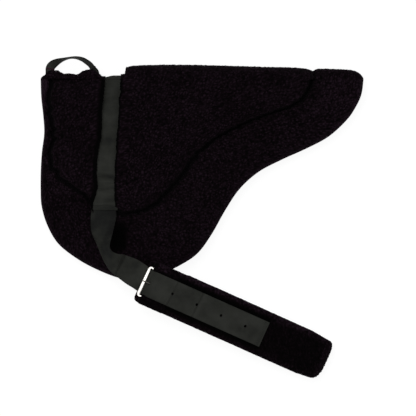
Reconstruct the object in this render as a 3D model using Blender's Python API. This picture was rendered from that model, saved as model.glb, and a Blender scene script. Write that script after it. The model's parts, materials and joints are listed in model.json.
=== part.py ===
"""Bareback pad, lying folded in half along its spine with the girth buckled on the near side.

Metres, +Z up. The pad lies on its off side: X runs from the withers to the tail, Y up towards the
spine, and the near side faces up. Outlines are shares of the pad's length and drop.
"""

import math

import bmesh
import bpy
import numpy as np
from mathutils import Matrix

# Pad: its length along the spine, and its drop from the spine to the tip of the skirt
pad_length = 0.618
pad_drop = 0.3834
spine_offset = 0.2643
clearance = 0.0003
lining_thickness = 0.004
panel_rise = 0.0217
skirt_rise = 0.014
panel_gap = 0.0007
cover_wall = 0.009
# Webbing of the girth strap, which runs over the withers
webbing_width = 0.0508
webbing_thickness = 0.0024
channel_play = 0.0005
strip_thickness = 0.0015
webbing_end_height = 0.0188
# Grab handle
handle_width = 0.016
handle_foot_gap = 0.0036
handle_play = 0.0012
# Strap holes
hole_radius = 0.0025
hole_pitch = 0.0508
hole_count = 5
strap_past_roller = 0.252
tip_crease = 0.048
off_billet_length = 0.431
# Roller buckle
wire_radius = 0.002
roller_radius = 0.003
buckle_depth = 0.023
buckle_side_play = 0.0015
buckle_corner = 0.003
roller_side_gap = 0.0004
tongue_radius = 0.0014
tongue_overhang = 0.0025
tongue_play = 0.0011
slot_play = 0.002
tongue_hole_reach_share = 0.55
tongue_hole_turn = math.radians(1.5)
near_roller_lift = 0.0015
off_roller_drop = 0.002
# Girth, folded in half at its far end
girth_width = 0.087
girth_fleece = 0.0076
girth_run_near = 0.3456
girth_run_off = 0.273
girth_side_shift = 0.0029
flap_reach = 0.027
chape_length = 0.022
chape_gap = 0.004
pad_under_girth = 0.026
girth_heading = math.radians(-24.24)
overrun = 0.01

# Shares of the pad's length and drop
seam_shares = [
    (0.028, 0.0), (0.025, 0.09), (0.029, 0.18), (0.04, 0.28), (0.03, 0.35), (0.03, 0.415),
    (0.045, 0.47), (0.071, 0.512), (0.105, 0.547), (0.14, 0.583), (0.164, 0.625), (0.189, 0.66),
    (0.22, 0.67), (0.26, 0.67), (0.307, 0.66), (0.35, 0.625), (0.384, 0.575), (0.416, 0.52),
    (0.447, 0.443), (0.487, 0.36), (0.533, 0.305), (0.592, 0.25), (0.654, 0.205), (0.722, 0.165),
    (0.778, 0.133), (0.816, 0.09), (0.837, 0.04), (0.847, 0.0),
]  # fmt: skip
outline_shares = [
    (0.001, 0.0), (0.003, 0.09), (0.009, 0.18), (0.012, 0.27), (0.005, 0.36), (0.001, 0.45),
    (0.0, 0.55), (0.003, 0.63), (0.019, 0.72), (0.05, 0.81), (0.096, 0.875), (0.158, 0.935),
    (0.239, 0.988), (0.307, 0.998), (0.369, 0.97), (0.431, 0.925), (0.485, 0.865), (0.528, 0.77),
    (0.57, 0.65), (0.614, 0.545), (0.673, 0.46), (0.746, 0.398), (0.819, 0.345), (0.889, 0.285),
    (0.947, 0.2), (0.977, 0.128), (0.992, 0.07), (1.0, 0.0),
]  # fmt: skip
front_seam_last = 9
seat_seam_first = 13
channel_shares = [
    (0.224, 0.0), (0.22, 0.13), (0.212, 0.28), (0.205, 0.41),
    (0.202, 0.49), (0.198, 0.57), (0.197, 0.655),
]  # fmt: skip
webbing_climb_shares = [0.0, 0.12, 0.35, 0.53, 0.64, 0.8, 1.0]
strip_end_share = 0.6
seat_centre_shares = (0.419, 0.225)
front_centre_shares = (0.105, 0.26)
# A skirt's section from the seam to its edge: how far across, how high
skirt_section_shares = [(0, 0), (0, 0.4), (0.15, 0.7), (0.4, 1), (0.7, 1), (0.88, 0.8), (1, 0.42), (1, 0)]
# A panel's rings from its edge to the middle: size, height
panel_ring_shares = [(1, 0), (1, 0.42), (0.97, 0.76), (0.91, 0.93), (0.8, 1), (0.45, 1)]
cavity_ring_shares = [(0.86, 1), (0.9, 0.76), (0.9, 0)]
foam_ring_shares = [(0.894, 0), (0.894, 0.74), (0.855, 0.97)]
side_edge_share = 0.6
corner_edge_share = 0.8
# Along each roll of the spine: how far, how thick
front_roll_shares = [(0, 0.35), (0.1, 0.45), (0.35, 0.42), (0.55, 0.4), (0.75, 0.5), (0.93, 0.52), (1, 0.4)]
seat_roll_shares = [(0, 0.8), (0.02, 0.96), (0.08, 1), (0.5, 1), (0.9, 0.98), (0.98, 0.9), (1, 0.8)]
# Grab handle's line, and how far its webbing is turned on edge
handle_shares = [
    (0.029, -0.04), (0.03, -0.065), (0.043, -0.085), (0.062, -0.099), (0.084, -0.107),
    (0.105, -0.108), (0.127, -0.101), (0.146, -0.085), (0.16, -0.06), (0.168, -0.03),
]  # fmt: skip
handle_foot_share = (0.029, 0.169)
handle_turns = [0, 0, 15, 50, 80, 90, 90, 85, 70, 45, 12, 0]
# Free strap from the pad to the buckle: its two edges, and how high each lies in strap widths
strap_left_shares = [
    (0.156, 0.659), (0.156, 0.69), (0.158, 0.76), (0.174, 0.825),
    (0.195, 0.905), (0.217, 0.96), (0.236, 0.984),
]  # fmt: skip
strap_right_shares = [
    (0.238, 0.659), (0.236, 0.69), (0.226, 0.755), (0.216, 0.825),
    (0.223, 0.85), (0.243, 0.87), (0.27, 0.875),
]  # fmt: skip
strap_right_lift_shares = [0.0, 0.06, 0.28, 0.55, 0.52, 0.38, 0.22]
strap_left_lift_shares = [0.0, 0.0, 0.0, 0.0, 0.0, 0.01, 0.04]
# Through the buckle: buckle depths from its bar, and height from the roller's underside to the girth
strap_run_shares = [
    (-2.25, -0.45), (-1.65, -0.12), (-1.3, 0), (-1, 0), (-0.7, 0.13), (-0.52, 0.36), (-0.35, 0.68),
    (-0.17, 0.93), (0, 1), (0.25, 1), (0.9, 1),
]  # fmt: skip
bar_place_shares = (0.351, 1.0275)
off_fold_shares = (0.1965, 0.89)
off_billet_turn = math.radians(35)
# A girth fleece's section, and its ends: across, height
girth_section_shares = [
    (-0.45, 0), (0.45, 0), (0.49, 0.25), (0.5, 0.55), (0.47, 0.88), (0.36, 1),
    (-0.36, 1), (-0.47, 0.88), (-0.5, 0.55), (-0.49, 0.25),
]  # fmt: skip
girth_end_shares = [(0, 0.84, 0.6), (0.05, 0.95, 0.9), (0.13, 1, 1)]
girth_station_shares = [0.4, 0.65, 0.9]
# The webbing's way back from the bar: along the chape, and height from the bar
chape_return_shares = [(0.3, 0.95), (0.65, 0.3)]
girth_fold_width_share = 0.93
# The girth's fold: across, height, reach
girth_fold_shares = [
    (-0.5, 0.74, 0.1), (-0.46, 0.95, 0.5), (-0.38, 1, 0.76), (-0.22, 1, 0.96), (0.1, 1, 1),
    (0.34, 1, 0.92), (0.46, 0.95, 0.72), (0.5, 0.74, 0.35),
]  # fmt: skip
curve_steps = 2
roll_steps = 12

# Levels, measured from the fold's middle plane
panel_base = clearance + lining_thickness + clearance
middle_height = panel_base + panel_rise
strap_top_height = middle_height + webbing_end_height + webbing_thickness / 2 + clearance
webbing_start_height = panel_base + strip_thickness + clearance + webbing_thickness / 2
skirt_top = panel_base + skirt_rise
strap_rest_height = skirt_top + clearance + webbing_thickness / 2
girth_half = 2 * girth_fleece + webbing_thickness + 3 * clearance
fold_height = girth_half
bar_height = girth_fleece + 3 * clearance + wire_radius + 2 * tongue_radius
core_height = girth_fleece + 2 * clearance + webbing_thickness / 2
girth_tilt = math.asin(
    (middle_height + skirt_top + clearance - fold_height) / (girth_run_near - pad_under_girth)
)

FLEECE = ((0.0037, 0.0021, 0.0033), 1.0, 0.0)
LINING = ((0.006, 0.005, 0.006), 0.95, 0.0)
FOAM = ((0.32, 0.32, 0.3), 0.9, 0.0)
WEBBING = ((0.02, 0.021, 0.018), 0.8, 0.0)
NICKEL = ((0.75, 0.73, 0.7), 0.22, 1.0)

for old in list(bpy.data.objects):
    bpy.data.objects.remove(old)
pad_collection = bpy.data.collections.new("bareback_pad")
cutter_collection = bpy.data.collections.new("cutters")
for collection in (pad_collection, cutter_collection):
    bpy.context.scene.collection.children.link(collection)


def place(share_x, share_y, height=0.0, side=1):
    """A point of the pad: height is measured from the middle plane, towards the near or off side."""
    return np.array(
        [(share_x - 0.5) * pad_length, spine_offset - share_y * pad_drop, middle_height + side * height]
    )


def through(matrix, points):
    """Points given in a frame, as world coordinates."""
    array = np.array(matrix)
    return np.asarray(points, float) @ array[:3, :3].T + array[:3, 3]


def smooth_line(points, steps):
    """A smooth line through the points, with the given number of steps between neighbours."""
    points = np.asarray(points, float)
    ends = np.vstack([2 * points[0] - points[1], points, 2 * points[-1] - points[-2]])
    line = []
    for a, b, c, d in zip(ends, ends[1:], ends[2:], ends[3:]):
        for t in np.arange(steps) / steps:
            line.append(
                b + (c - a) * t / 2 + (2 * a - 5 * b + 4 * c - d) * t**2 / 2
                + (3 * b - a - 3 * c + d) * t**3 / 2
            )  # fmt: skip
    return np.array([*line, points[-1]])


def axis_empty(name, matrix):
    """An empty on a joint's axis, which carries the pieces that the joint moves."""
    empty = bpy.data.objects.new(name, None)
    empty.empty_display_size = webbing_width
    empty.matrix_world = matrix
    pad_collection.objects.link(empty)
    return empty


def dress(obj, look):
    """Gives an object its own material."""
    colour, roughness, metallic = look
    material = bpy.data.materials.new(obj.name + "_material")
    material.use_nodes = True
    shader = material.node_tree.nodes["Principled BSDF"]
    shader.inputs["Base Color"].default_value = (*colour, 1)
    shader.inputs["Roughness"].default_value = roughness
    shader.inputs["Metallic"].default_value = metallic
    obj.data.materials.append(material)


def carry(obj, look, empty):
    """Links an object whose data is in world coordinates, and hands it to its empty."""
    pad_collection.objects.link(obj)
    if empty:
        obj.data.transform(empty.matrix_world.inverted())
        obj.parent = empty
    dress(obj, look)
    return obj


def solid(name, rings, look, empty=None, tips=(None, None), closed=False):
    """A closed loft through rings of equal length. An end has a point as its tip, or a flat cap."""
    rings = np.asarray(rings, float)
    size = rings.shape[1]
    mesh = bpy.data.meshes.new(name)
    shape = bmesh.new()
    grid = [[shape.verts.new(point) for point in ring] for ring in rings]
    pairs = list(zip(grid, grid[1:]))
    if closed:
        pairs.append((grid[-1], grid[0]))
    for low, high in pairs:
        for k in range(size):
            shape.faces.new((low[k - 1], low[k], high[k], high[k - 1]))
    if not closed:
        for ring, tip in ((grid[0], tips[0]), (grid[-1], tips[1])):
            if tip is None:
                shape.faces.new(ring)
                continue
            point = shape.verts.new(tip)
            for k in range(size):
                shape.faces.new((ring[k - 1], ring[k], point))
    bmesh.ops.triangulate(shape, faces=[face for face in shape.faces if len(face.verts) > 4])
    bmesh.ops.recalc_face_normals(shape, faces=shape.faces)
    shape.to_mesh(mesh)
    shape.free()
    mesh.shade_smooth()
    mesh.set_sharp_from_angle(angle=math.radians(40))
    return carry(bpy.data.objects.new(name, mesh), look, empty)


def slab(name, outline, low, high, look, empty=None):
    """A flat piece with the given outline."""
    rings = [[(x, y, z) for x, y in outline] for z in (low, high)]
    return solid(name, rings, look, empty)


def ribbon(name, left, right, look, empty=None):
    """Webbing between two edge lines, half its thickness to each side of them."""
    left, right = np.asarray(left, float), np.asarray(right, float)
    along = np.gradient((left + right) / 2, axis=0)
    normal = np.cross(right - left, along)
    normal *= webbing_thickness / 2 / np.linalg.norm(normal, axis=1, keepdims=True)
    rings = np.stack([left + normal, right + normal, right - normal, left - normal], axis=1)
    return solid(name, rings, look, empty)


def wire(name, points, radius, look, empty=None, cyclic=False):
    """A round wire along the points."""
    curve = bpy.data.curves.new(name, "CURVE")
    curve.dimensions = "3D"
    curve.bevel_depth = radius
    curve.bevel_resolution = 2
    curve.use_fill_caps = True
    spline = curve.splines.new("POLY")
    spline.points.add(len(points) - 1)
    spline.points.foreach_set("co", np.column_stack([points, np.ones(len(points))]).ravel())
    spline.use_cyclic_u = cyclic
    return carry(bpy.data.objects.new(name, curve), look, empty)


def cutter(name, matrix, size=None, radius=None):
    """A box of the given size, or a rod along Z with the given radius and length."""
    mesh = bpy.data.meshes.new(name)
    shape = bmesh.new()
    if radius:
        bmesh.ops.create_cone(
            shape, cap_ends=True, segments=16, radius1=radius, radius2=radius, depth=size
        )
    else:
        bmesh.ops.create_cube(shape, size=1)
        bmesh.ops.scale(shape, vec=size, verts=shape.verts)
    shape.to_mesh(mesh)
    shape.free()
    obj = bpy.data.objects.new(name, mesh)
    obj.matrix_world = matrix
    obj.hide_render = True
    obj.display_type = "WIRE"
    cutter_collection.objects.link(obj)
    return obj


def cut(obj, tool):
    boolean = obj.modifiers.new(tool.name, "BOOLEAN")
    boolean.operation = "DIFFERENCE"
    boolean.object = tool


def inset(outline, distance):
    """The closed outline, drawn in by a small distance."""
    outline = np.asarray(outline, float)
    x, y = outline.T
    turn = np.sign(np.sum(x * np.roll(y, -1) - np.roll(x, -1) * y))
    along = np.roll(outline, -1, axis=0) - outline
    inward = turn * np.column_stack([-along[:, 1], along[:, 0]])
    inward /= np.linalg.norm(inward, axis=1, keepdims=True)
    before = np.roll(inward, 1, axis=0)
    mitre = 1 + np.sum(inward * before, axis=1, keepdims=True)
    return outline + distance * (inward + before) / mitre


def channel_lines():
    """The webbing's centre line on the pad, and its height over the middle plane."""
    centre = smooth_line([place(*share)[:2] for share in channel_shares], curve_steps)
    climb = smooth_line([[share] for share in webbing_climb_shares], curve_steps)[:, 0]
    height = webbing_start_height + climb * (webbing_end_height - webbing_start_height)
    centre[0, 1] -= clearance
    return centre, height


def across(centre, offset):
    """The channel's line, moved along the spine by an offset."""
    return centre + np.array([offset, 0])


def panel_outlines():
    """The seam between panels and skirt, and the outlines of the front and seat panels."""
    seam = smooth_line([place(*share)[:2] for share in seam_shares], curve_steps)
    edge = smooth_line([place(*share)[:2] for share in outline_shares], curve_steps)
    centre = channel_lines()[0]
    half = webbing_width / 2 + channel_play
    front_side, seat_side = across(centre, -half), across(centre, half)
    kept = centre[:, 1] > place(0, strip_end_share)[1]

    front_seam = seam[: front_seam_last * curve_steps + 1]
    front_top = np.linspace(front_side[0], front_seam[0], 6)[1:-1]
    front = np.vstack([front_seam, front_side[kept][::-1], front_top])
    seat_seam = seam[seat_seam_first * curve_steps :]
    seat_top = np.linspace(seat_seam[-1], seat_side[0], 8)[1:-1]
    seat = np.vstack([seat_seam, seat_top, seat_side])
    return seam, edge, front, len(front_seam), seat, len(seat_seam), len(seat_top)


def panel_rings(outline, middle, shares, rise, edge_shares, side):
    """Rings drawn in towards the middle. Near the spine the edge keeps the panel's full height."""
    rings = []
    for size, height in shares:
        flat = middle + size * (outline - middle)
        level = height + (1 - height) * edge_shares if height else 0 * edge_shares
        rings.append(np.column_stack([flat, middle_height + side * (panel_base + level * rise)]))
    return rings


def padded_panel(name, half, outline, centre_shares, edge_shares, side, empty):
    """A fleece cover, open underneath, over its foam."""
    middle = place(*centre_shares)[:2]
    outline = inset(outline, panel_gap)
    hollow = panel_rise - cover_wall
    cover = panel_rings(outline, middle, panel_ring_shares, panel_rise, edge_shares, side)
    plain = 0 * edge_shares
    cavity = panel_rings(outline, middle, cavity_ring_shares, hollow, plain, side)
    foam = panel_rings(outline, middle, foam_ring_shares, hollow - clearance, plain, side)
    top = (*middle, middle_height + side * (panel_base + panel_rise))
    roof = (*middle, middle_height + side * (panel_base + hollow))
    foam_top = (*middle, middle_height + side * (panel_base + hollow - clearance))
    solid(f"{half}_{name}_panel", cavity + cover, FLEECE, empty, (roof, top))
    solid(f"{half}_{name}_foam", foam, FOAM, empty, (None, foam_top))


def pad_half(half, side, empty):
    """One side of the pad, from its lining out to the fleece and the sewn webbing."""
    seam, edge, front, front_seam, seat, seat_seam, seat_top = panel_outlines()
    seam[[0, -1], 1] -= clearance
    edge[[0, -1], 1] -= clearance

    lining = inset(edge, clearance)
    levels = sorted((middle_height + side * clearance, middle_height + side * (panel_base - clearance)))
    slab(f"{half}_lining", lining, *levels, LINING, empty)

    low = panel_ring_shares[1][1]
    front_edges = np.zeros(len(front))
    front_edges[front_seam:] = side_edge_share * low
    padded_panel("front", half, front, front_centre_shares, front_edges, side, empty)
    seat_edges = np.zeros(len(seat))
    seat_edges[seat_seam : seat_seam + seat_top] = 1
    seat_edges[[seat_seam - 1, seat_seam + seat_top]] = corner_edge_share
    seat_edges[seat_seam + seat_top + 1 :] = side_edge_share * low
    padded_panel("seat", half, seat, seat_centre_shares, seat_edges, side, empty)

    rings = []
    for inner, outer in zip(seam, edge):
        ring = []
        for share, height in skirt_section_shares:
            level = middle_height + side * (panel_base + height * skirt_rise)
            ring.append((*(inner + share * (outer - inner)), level))
        rings.append(ring)
    solid(f"{half}_skirt_panel", rings, FLEECE, empty)

    centre, height = channel_lines()
    half_width = webbing_width / 2
    levels = middle_height + side * height
    left = np.column_stack([across(centre, -half_width), levels])
    right = np.column_stack([across(centre, half_width), levels])
    ribbon(f"{half}_sewn_webbing", left, right, WEBBING, empty)

    kept = centre[:, 1] > place(0, strip_end_share)[1]
    top = side * (height[kept] - webbing_thickness / 2 - clearance)
    rings = []
    for (x, y), level in zip(centre[kept], top):
        low_level, high_level = middle_height + side * panel_base, middle_height + level
        rings.append(
            [
                (x - half_width, y, low_level),
                (x + half_width, y, low_level),
                (x + half_width, y, high_level),
                (x - half_width, y, high_level),
            ]
        )
    solid(f"{half}_channel_strip", rings, FLEECE, empty)


def spine_roll(name, start, end, shares, thickness, look, hollow=clearance):
    """A half round fold over the spine, between two places along it."""
    rings = []
    for angle in np.linspace(-math.pi / 2, math.pi / 2, roll_steps + 1):
        section = [(start + share * (end - start), size * thickness) for share, size in shares]
        section = [(start, hollow), *section, (end, hollow)]
        rings.append(
            [
                (x, spine_offset + r * math.cos(angle), middle_height + r * math.sin(angle))
                for x, r in section
            ]
        )
    return solid(name, rings, look)


def spine():
    """The folds of fleece and webbing that join the two sides."""
    foot, far_foot = (place(share, 0)[0] for share in handle_foot_share)
    reach = handle_width / 2 + handle_play
    spine_roll("front_spine_roll", foot + reach, far_foot - reach, front_roll_shares, middle_height, FLEECE)
    middle = place(*channel_shares[0])[0]
    half = webbing_width / 2
    flat = [(0, 1), (1, 1)]
    core = webbing_start_height - webbing_thickness / 2 - clearance
    spine_roll("channel_spine_roll", middle - half, middle + half, flat, core, FLEECE)
    outside = webbing_start_height + webbing_thickness / 2
    spine_roll(
        "withers_webbing_loop", middle - half, middle + half, flat, outside, WEBBING,
        outside - webbing_thickness,
    )  # fmt: skip
    seam = place(*seam_shares[-1])[0]
    start = middle + half + channel_play
    spine_roll("seat_spine_roll", start, seam - clearance, seat_roll_shares, middle_height, FLEECE)
    section = [
        (share, (panel_base + height * skirt_rise) / skirt_top)
        for share, height in skirt_section_shares[1:-1]
    ]
    end = place(*outline_shares[-1])[0]
    spine_roll("tail_spine_roll", seam + clearance, end, section, skirt_top, FLEECE)


def grab_handle(empty):
    """A loop of webbing over the withers, flat at its feet and turned on edge at its top."""
    foot, far_foot = handle_foot_share
    line = [place(*share) for share in handle_shares]
    for end, share in ((0, foot), (len(line), far_foot)):
        point = place(share, 0)
        point[1] += handle_foot_gap
        line.insert(end if end == 0 else len(line), point)
    line = smooth_line(line, curve_steps)
    turn = np.radians(smooth_line([[angle] for angle in handle_turns], curve_steps))
    along = np.gradient(line, axis=0)
    along /= np.linalg.norm(along, axis=1, keepdims=True)
    up = np.array([0, 0, 1])
    wide = np.cos(turn) * np.cross(up, along) + np.sin(turn) * up
    half = handle_width / 2
    ribbon("grab_handle", line + half * wide, line - half * wide, WEBBING, empty)


def girth_frame(outer_side):
    """A frame on the girth's fold: X along the girth away from the pad, Z towards its outer face."""
    bar = place(*bar_place_shares)
    run = girth_run_near
    fold = (
        bar[0] + run * math.cos(girth_heading),
        bar[1] + run * math.sin(girth_heading),
        fold_height,
    )
    turn = Matrix.Rotation(girth_tilt, 4, "Y") if outer_side > 0 else Matrix.Rotation(math.pi, 4, "X")
    return Matrix.Translation(fold) @ Matrix.Rotation(girth_heading, 4, "Z") @ turn


def girth_strip(name, frame, start, end, level, turned, shift, empty):
    """A length of girth fleece. Its rounded side faces up, or down if turned."""
    rings = []
    stations = [(start + share * girth_width, wide, thick) for share, wide, thick in girth_end_shares]
    stations += [(start + (end - start) * share, 1, 1) for share in girth_station_shares]
    stations.append((end, girth_fold_width_share, 1))
    for a, wide, thick in stations:
        ring = []
        for b, height in girth_section_shares:
            c = (1 - height if turned else height) * girth_fleece
            if thick < 1:
                c = girth_fleece + (c - girth_fleece) * thick if turned else c * thick
            ring.append((a, shift + wide * b * girth_width, level + c))
        rings.append(through(frame, ring))
    return solid(name, rings, FLEECE, empty)


def girth_half_pieces(half, frame, run, shift, empty):
    """Fleece, webbing and fleece, from the buckle's flap to the fold."""
    bar = -run
    girth_strip(f"{half}_girth_lining", frame, bar - flap_reach, -clearance, clearance, True, shift, empty)
    outer = core_height + webbing_thickness / 2 + clearance
    start = bar + chape_length + chape_gap
    girth_strip(f"{half}_girth_fleece", frame, start, -clearance, outer, False, shift, empty)

    bend = wire_radius + clearance + webbing_thickness / 2
    line = [(-clearance, core_height), (bar / 2, core_height), (start, core_height)]
    line.append((bar + chape_length / 2, core_height))
    line += [
        (bar - bend * math.sin(angle), bar_height - bend * math.cos(angle))
        for angle in np.linspace(0, math.pi, 9)
    ]
    seated = core_height + webbing_thickness + clearance
    line += [(bar + chape_length * share, bar_height + bend * rise) for share, rise in chape_return_shares]
    line.append((bar + chape_length, seated))
    half_width = webbing_width / 2
    left = through(frame, [(a, -half_width, c) for a, c in line])
    right = through(frame, [(a, half_width, c) for a, c in line])
    webbing = ribbon(f"{half}_girth_webbing", left, right, WEBBING, empty)
    slot_width = 2 * (tongue_radius + slot_play)
    slot_length = 2 * (wire_radius + 2 * tongue_radius + clearance + slot_play)
    low_edge = core_height - webbing_thickness / 2 - slot_play
    high_edge = bar_height + bend + webbing_thickness / 2 + slot_play
    slot = Matrix.Translation((bar, 0, (low_edge + high_edge) / 2))
    size = (slot_length, slot_width, high_edge - low_edge)
    cut(webbing, cutter(f"{half}_chape_slot", frame @ slot, size))


def buckle(half, frame, run, roller_height, frame_empty, roller_empty, tongue_empty):
    """A roller buckle: wire frame, roller tube and a tongue that loops round the back bar."""
    bar = -run
    lift = roller_height - bar_height
    tip = roller_radius + clearance + tongue_radius
    reach = math.sqrt(buckle_depth**2 - lift**2)
    side = webbing_width / 2 + buckle_side_play + wire_radius
    corners = []
    for d_sign, b_sign, first in ((0, 1, 0), (1, 1, 90), (1, -1, 180), (0, -1, 270)):
        for angle in np.radians([first, first + 30, first + 60, first + 90]):
            d_middle = buckle_depth * d_sign + buckle_corner * (1 - 2 * d_sign)
            d = d_middle - buckle_corner * math.cos(angle)
            b = b_sign * (side - buckle_corner) + buckle_corner * math.sin(angle)
            corners.append((bar - d * reach / buckle_depth, b, bar_height + d * lift / buckle_depth))
    wire(f"{half}_buckle_frame", through(frame, corners), wire_radius, NICKEL, frame_empty, True)

    length = 2 * (side - buckle_corner - roller_side_gap)
    rings = []
    for angle in np.linspace(0, 2 * math.pi, 21)[:-1]:
        ring = []
        for b, r in (
            (-length / 2, roller_radius), (length / 2, roller_radius),
            (length / 2, wire_radius + clearance), (-length / 2, wire_radius + clearance),
        ):  # fmt: skip
            ring.append((bar - reach + r * math.cos(angle), b, roller_height + r * math.sin(angle)))
        rings.append(through(frame, ring))
    solid(f"{half}_roller", rings, NICKEL, roller_empty, closed=True)

    loop = wire_radius + clearance + tongue_radius
    path = [
        (loop * math.cos(angle), loop * math.sin(angle))
        for angle in np.radians(np.linspace(50, 325, 11))
    ]
    rest = (reach, lift + tip)
    root = (path[-1][0] + tongue_radius, path[-1][1] + tongue_radius)
    path += [root]
    path += [
        (root[0] + (rest[0] - root[0]) * share, root[1] + (rest[1] - root[1]) * share)
        for share in np.linspace(0, 1, 4)[1:]
    ]
    path.append((rest[0] + tongue_overhang, rest[1]))
    points = through(frame, [(bar - d, 0, bar_height + c) for d, c in path])
    wire(f"{half}_tongue", points, tongue_radius, NICKEL, tongue_empty)
    return root, rest


def strap_hole(name, frame, a, obj):
    """A round punched hole through strap that lies flat on the girth."""
    level = 2 * girth_fleece + webbing_thickness
    cut(obj, cutter(name, frame @ Matrix.Translation((a, 0, level)), 2 * overrun, hole_radius))


def near_strap(frame, bar, roller_height, tongue_line, empty, tip_empty):
    """The strap from the sewn webbing, through the buckle and along the girth."""
    left, right = [], []
    for shares, lifts, edge in (
        (strap_left_shares, strap_left_lift_shares, left),
        (strap_right_shares, strap_right_lift_shares, right),
    ):
        for (x, y), lift in zip(shares, lifts):
            edge.append(place(x, y, strap_rest_height + lift * webbing_width))
        edge[0][2] = middle_height + webbing_end_height
    under = roller_height - roller_radius - clearance - webbing_thickness / 2
    over = girth_half + 2 * clearance + webbing_thickness / 2
    run = [(bar + share * buckle_depth, under + rise * (over - under)) for share, rise in strap_run_shares]
    run.append((bar + tip_crease, over))
    half = webbing_width / 2
    left += list(through(frame, [(a, -half, c) for a, c in run]))
    right += list(through(frame, [(a, half, c) for a, c in run]))
    billet = ribbon(
        "near_billet", smooth_line(left, curve_steps), smooth_line(right, curve_steps), WEBBING, empty
    )
    (d0, c0), (d1, c1) = tongue_line
    slope = math.atan2(c1 - c0, d1 - d0)
    along = Matrix.Translation((bar - (d0 + d1) / 2, 0, bar_height + (c0 + c1) / 2))
    turn = Matrix.Rotation(slope - math.pi / 2 + tongue_hole_turn, 4, "Y")
    reach = buckle_depth * tongue_hole_reach_share
    rod = cutter("tongue_hole", frame @ along @ turn, reach, tongue_radius + tongue_play)
    cut(billet, rod)

    first_hole = bar - (d0 + d1) / 2 + tongue_radius
    strap_end = bar - buckle_depth + strap_past_roller
    start = bar + tip_crease + clearance
    lines = [[(a, b, over) for a in (start, strap_end)] for b in (-half, half)]
    tip = ribbon("near_billet_tip", *(through(frame, line) for line in lines), WEBBING, tip_empty)
    for k in range(1, hole_count):
        a = first_hole + k * hole_pitch
        strap_hole(f"hole_{k}", frame, a, tip if a > start else billet)


def girth_fold_roll():
    """The girth's turn at its far end, from the lower half round to the upper."""
    frame = girth_frame(-1) @ Matrix.Rotation(math.pi, 4, "X")
    rings = []
    for angle in np.linspace(-math.pi / 2, math.pi / 2 - girth_tilt, roll_steps + 1):
        section = []
        for share, height, reach in girth_fold_shares:
            r = girth_half * (height + (reach - height) * math.cos(angle))
            section.append((girth_side_shift + share * girth_width * girth_fold_width_share, r))
        section = [(section[0][0], clearance), *section, (section[-1][0], clearance)]
        ring = [(r * math.cos(angle), b, r * math.sin(angle)) for b, r in section]
        rings.append(through(frame, ring))
    solid("girth_fold_roll", rings, FLEECE)


def off_straps(run_empty, turn_line):
    """The off side's free strap, laid under the skirt with one diagonal fold."""
    top, corner_left, corner_right, ahead, root_level, run_level = turn_line
    half_thick = webbing_thickness / 2
    left, right = corner_left[0], corner_right[0]
    outline = [(left, top), (right, top), tuple(corner_right), tuple(corner_left)]
    slab("off_billet", outline, root_level - half_thick, root_level + half_thick, WEBBING)
    middle = (corner_left + corner_right) / 2
    length = off_billet_length - (top - middle[1])
    sideways = np.array([-ahead[1], ahead[0]]) * webbing_width / 2
    end = middle + length * ahead
    start_gap = ahead * clearance
    outline = [corner_left + start_gap, corner_right + start_gap, end - sideways, end + sideways]
    run = slab(
        "off_billet_run", [tuple(p) for p in outline], run_level - half_thick, run_level + half_thick,
        WEBBING, run_empty,
    )  # fmt: skip
    last = end - ahead * (strap_past_roller - hole_pitch * hole_count + buckle_depth)
    for k in range(hole_count):
        spot = last - k * hole_pitch * ahead
        cut(run, cutter(f"off_hole_{k}", Matrix.Translation((*spot, run_level)), overrun, hole_radius))


def off_strap_line():
    """Where the off strap turns: top, the diagonal's ends, its new heading and its two levels."""
    middle = place(*off_fold_shares)[:2]
    ahead = np.array([math.cos(off_billet_turn), math.sin(off_billet_turn)])
    slope = (ahead[1] - 1) / ahead[0]
    half = webbing_width / 2
    corner_left = middle + np.array([-half, -half * slope])
    corner_right = middle + np.array([half, half * slope])
    top = place(*channel_shares[-1])[1] - clearance
    step = webbing_thickness + clearance
    root_level = middle_height - webbing_end_height - step
    return top, corner_left, corner_right, ahead, root_level, root_level - step


def build():
    spine_axis = Matrix.Translation((0, spine_offset, middle_height))
    near_half = axis_empty("near_half_axis", spine_axis)
    handle = axis_empty("handle_axis", spine_axis)
    pad_half("off", -1, None)
    pad_half("near", 1, near_half)
    spine()
    grab_handle(handle)

    upper, lower = girth_frame(1), girth_frame(-1)
    crease_level = (0, place(0, strap_left_shares[0][1])[1], strap_top_height)
    strap_axis = axis_empty("near_strap_axis", Matrix.Translation(crease_level))
    near_roller_height = bar_height + near_roller_lift
    off_roller_height = bar_height - off_roller_drop
    bar = -girth_run_near
    tip_level = girth_half + 3 * clearance + webbing_thickness
    tip_axis = axis_empty(
        "near_tip_axis", upper @ Matrix.Translation((bar + tip_crease, 0, tip_level))
    )
    ends = (
        ("near", upper, girth_run_near, near_roller_height, girth_side_shift, strap_axis, strap_axis),
        ("off", lower, girth_run_off, off_roller_height, -girth_side_shift, None, None),
    )
    for half, frame, run, roller_height, shift, girth_empty, frame_empty in ends:
        bar_spot = frame @ Matrix.Translation((-run, 0, bar_height))
        reach = math.sqrt(buckle_depth**2 - (roller_height - bar_height) ** 2)
        roller_spot = frame @ Matrix.Translation((-run - reach, 0, roller_height))
        if half == "off":
            girth_empty = axis_empty("girth_fold_axis", lower)
            frame_empty = axis_empty("off_buckle_axis", bar_spot)
        roller_axis = axis_empty(f"{half}_roller_axis", roller_spot)
        tongue_axis = axis_empty(f"{half}_tongue_axis", bar_spot)
        girth_half_pieces(half, frame, run, shift, girth_empty)
        line = buckle(half, frame, run, roller_height, frame_empty, roller_axis, tongue_axis)
        if half == "near":
            near_strap(upper, bar, near_roller_height, line, strap_axis, tip_axis)
    girth_fold_roll()

    turn = off_strap_line()
    root_level, run_level = turn[4], turn[5]
    middle = (turn[1] + turn[2]) / 2
    fold_axis = axis_empty(
        "off_strap_fold_axis", Matrix.Translation((*middle, (root_level + run_level) / 2))
    )
    off_straps(fold_axis, turn)


build()
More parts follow.
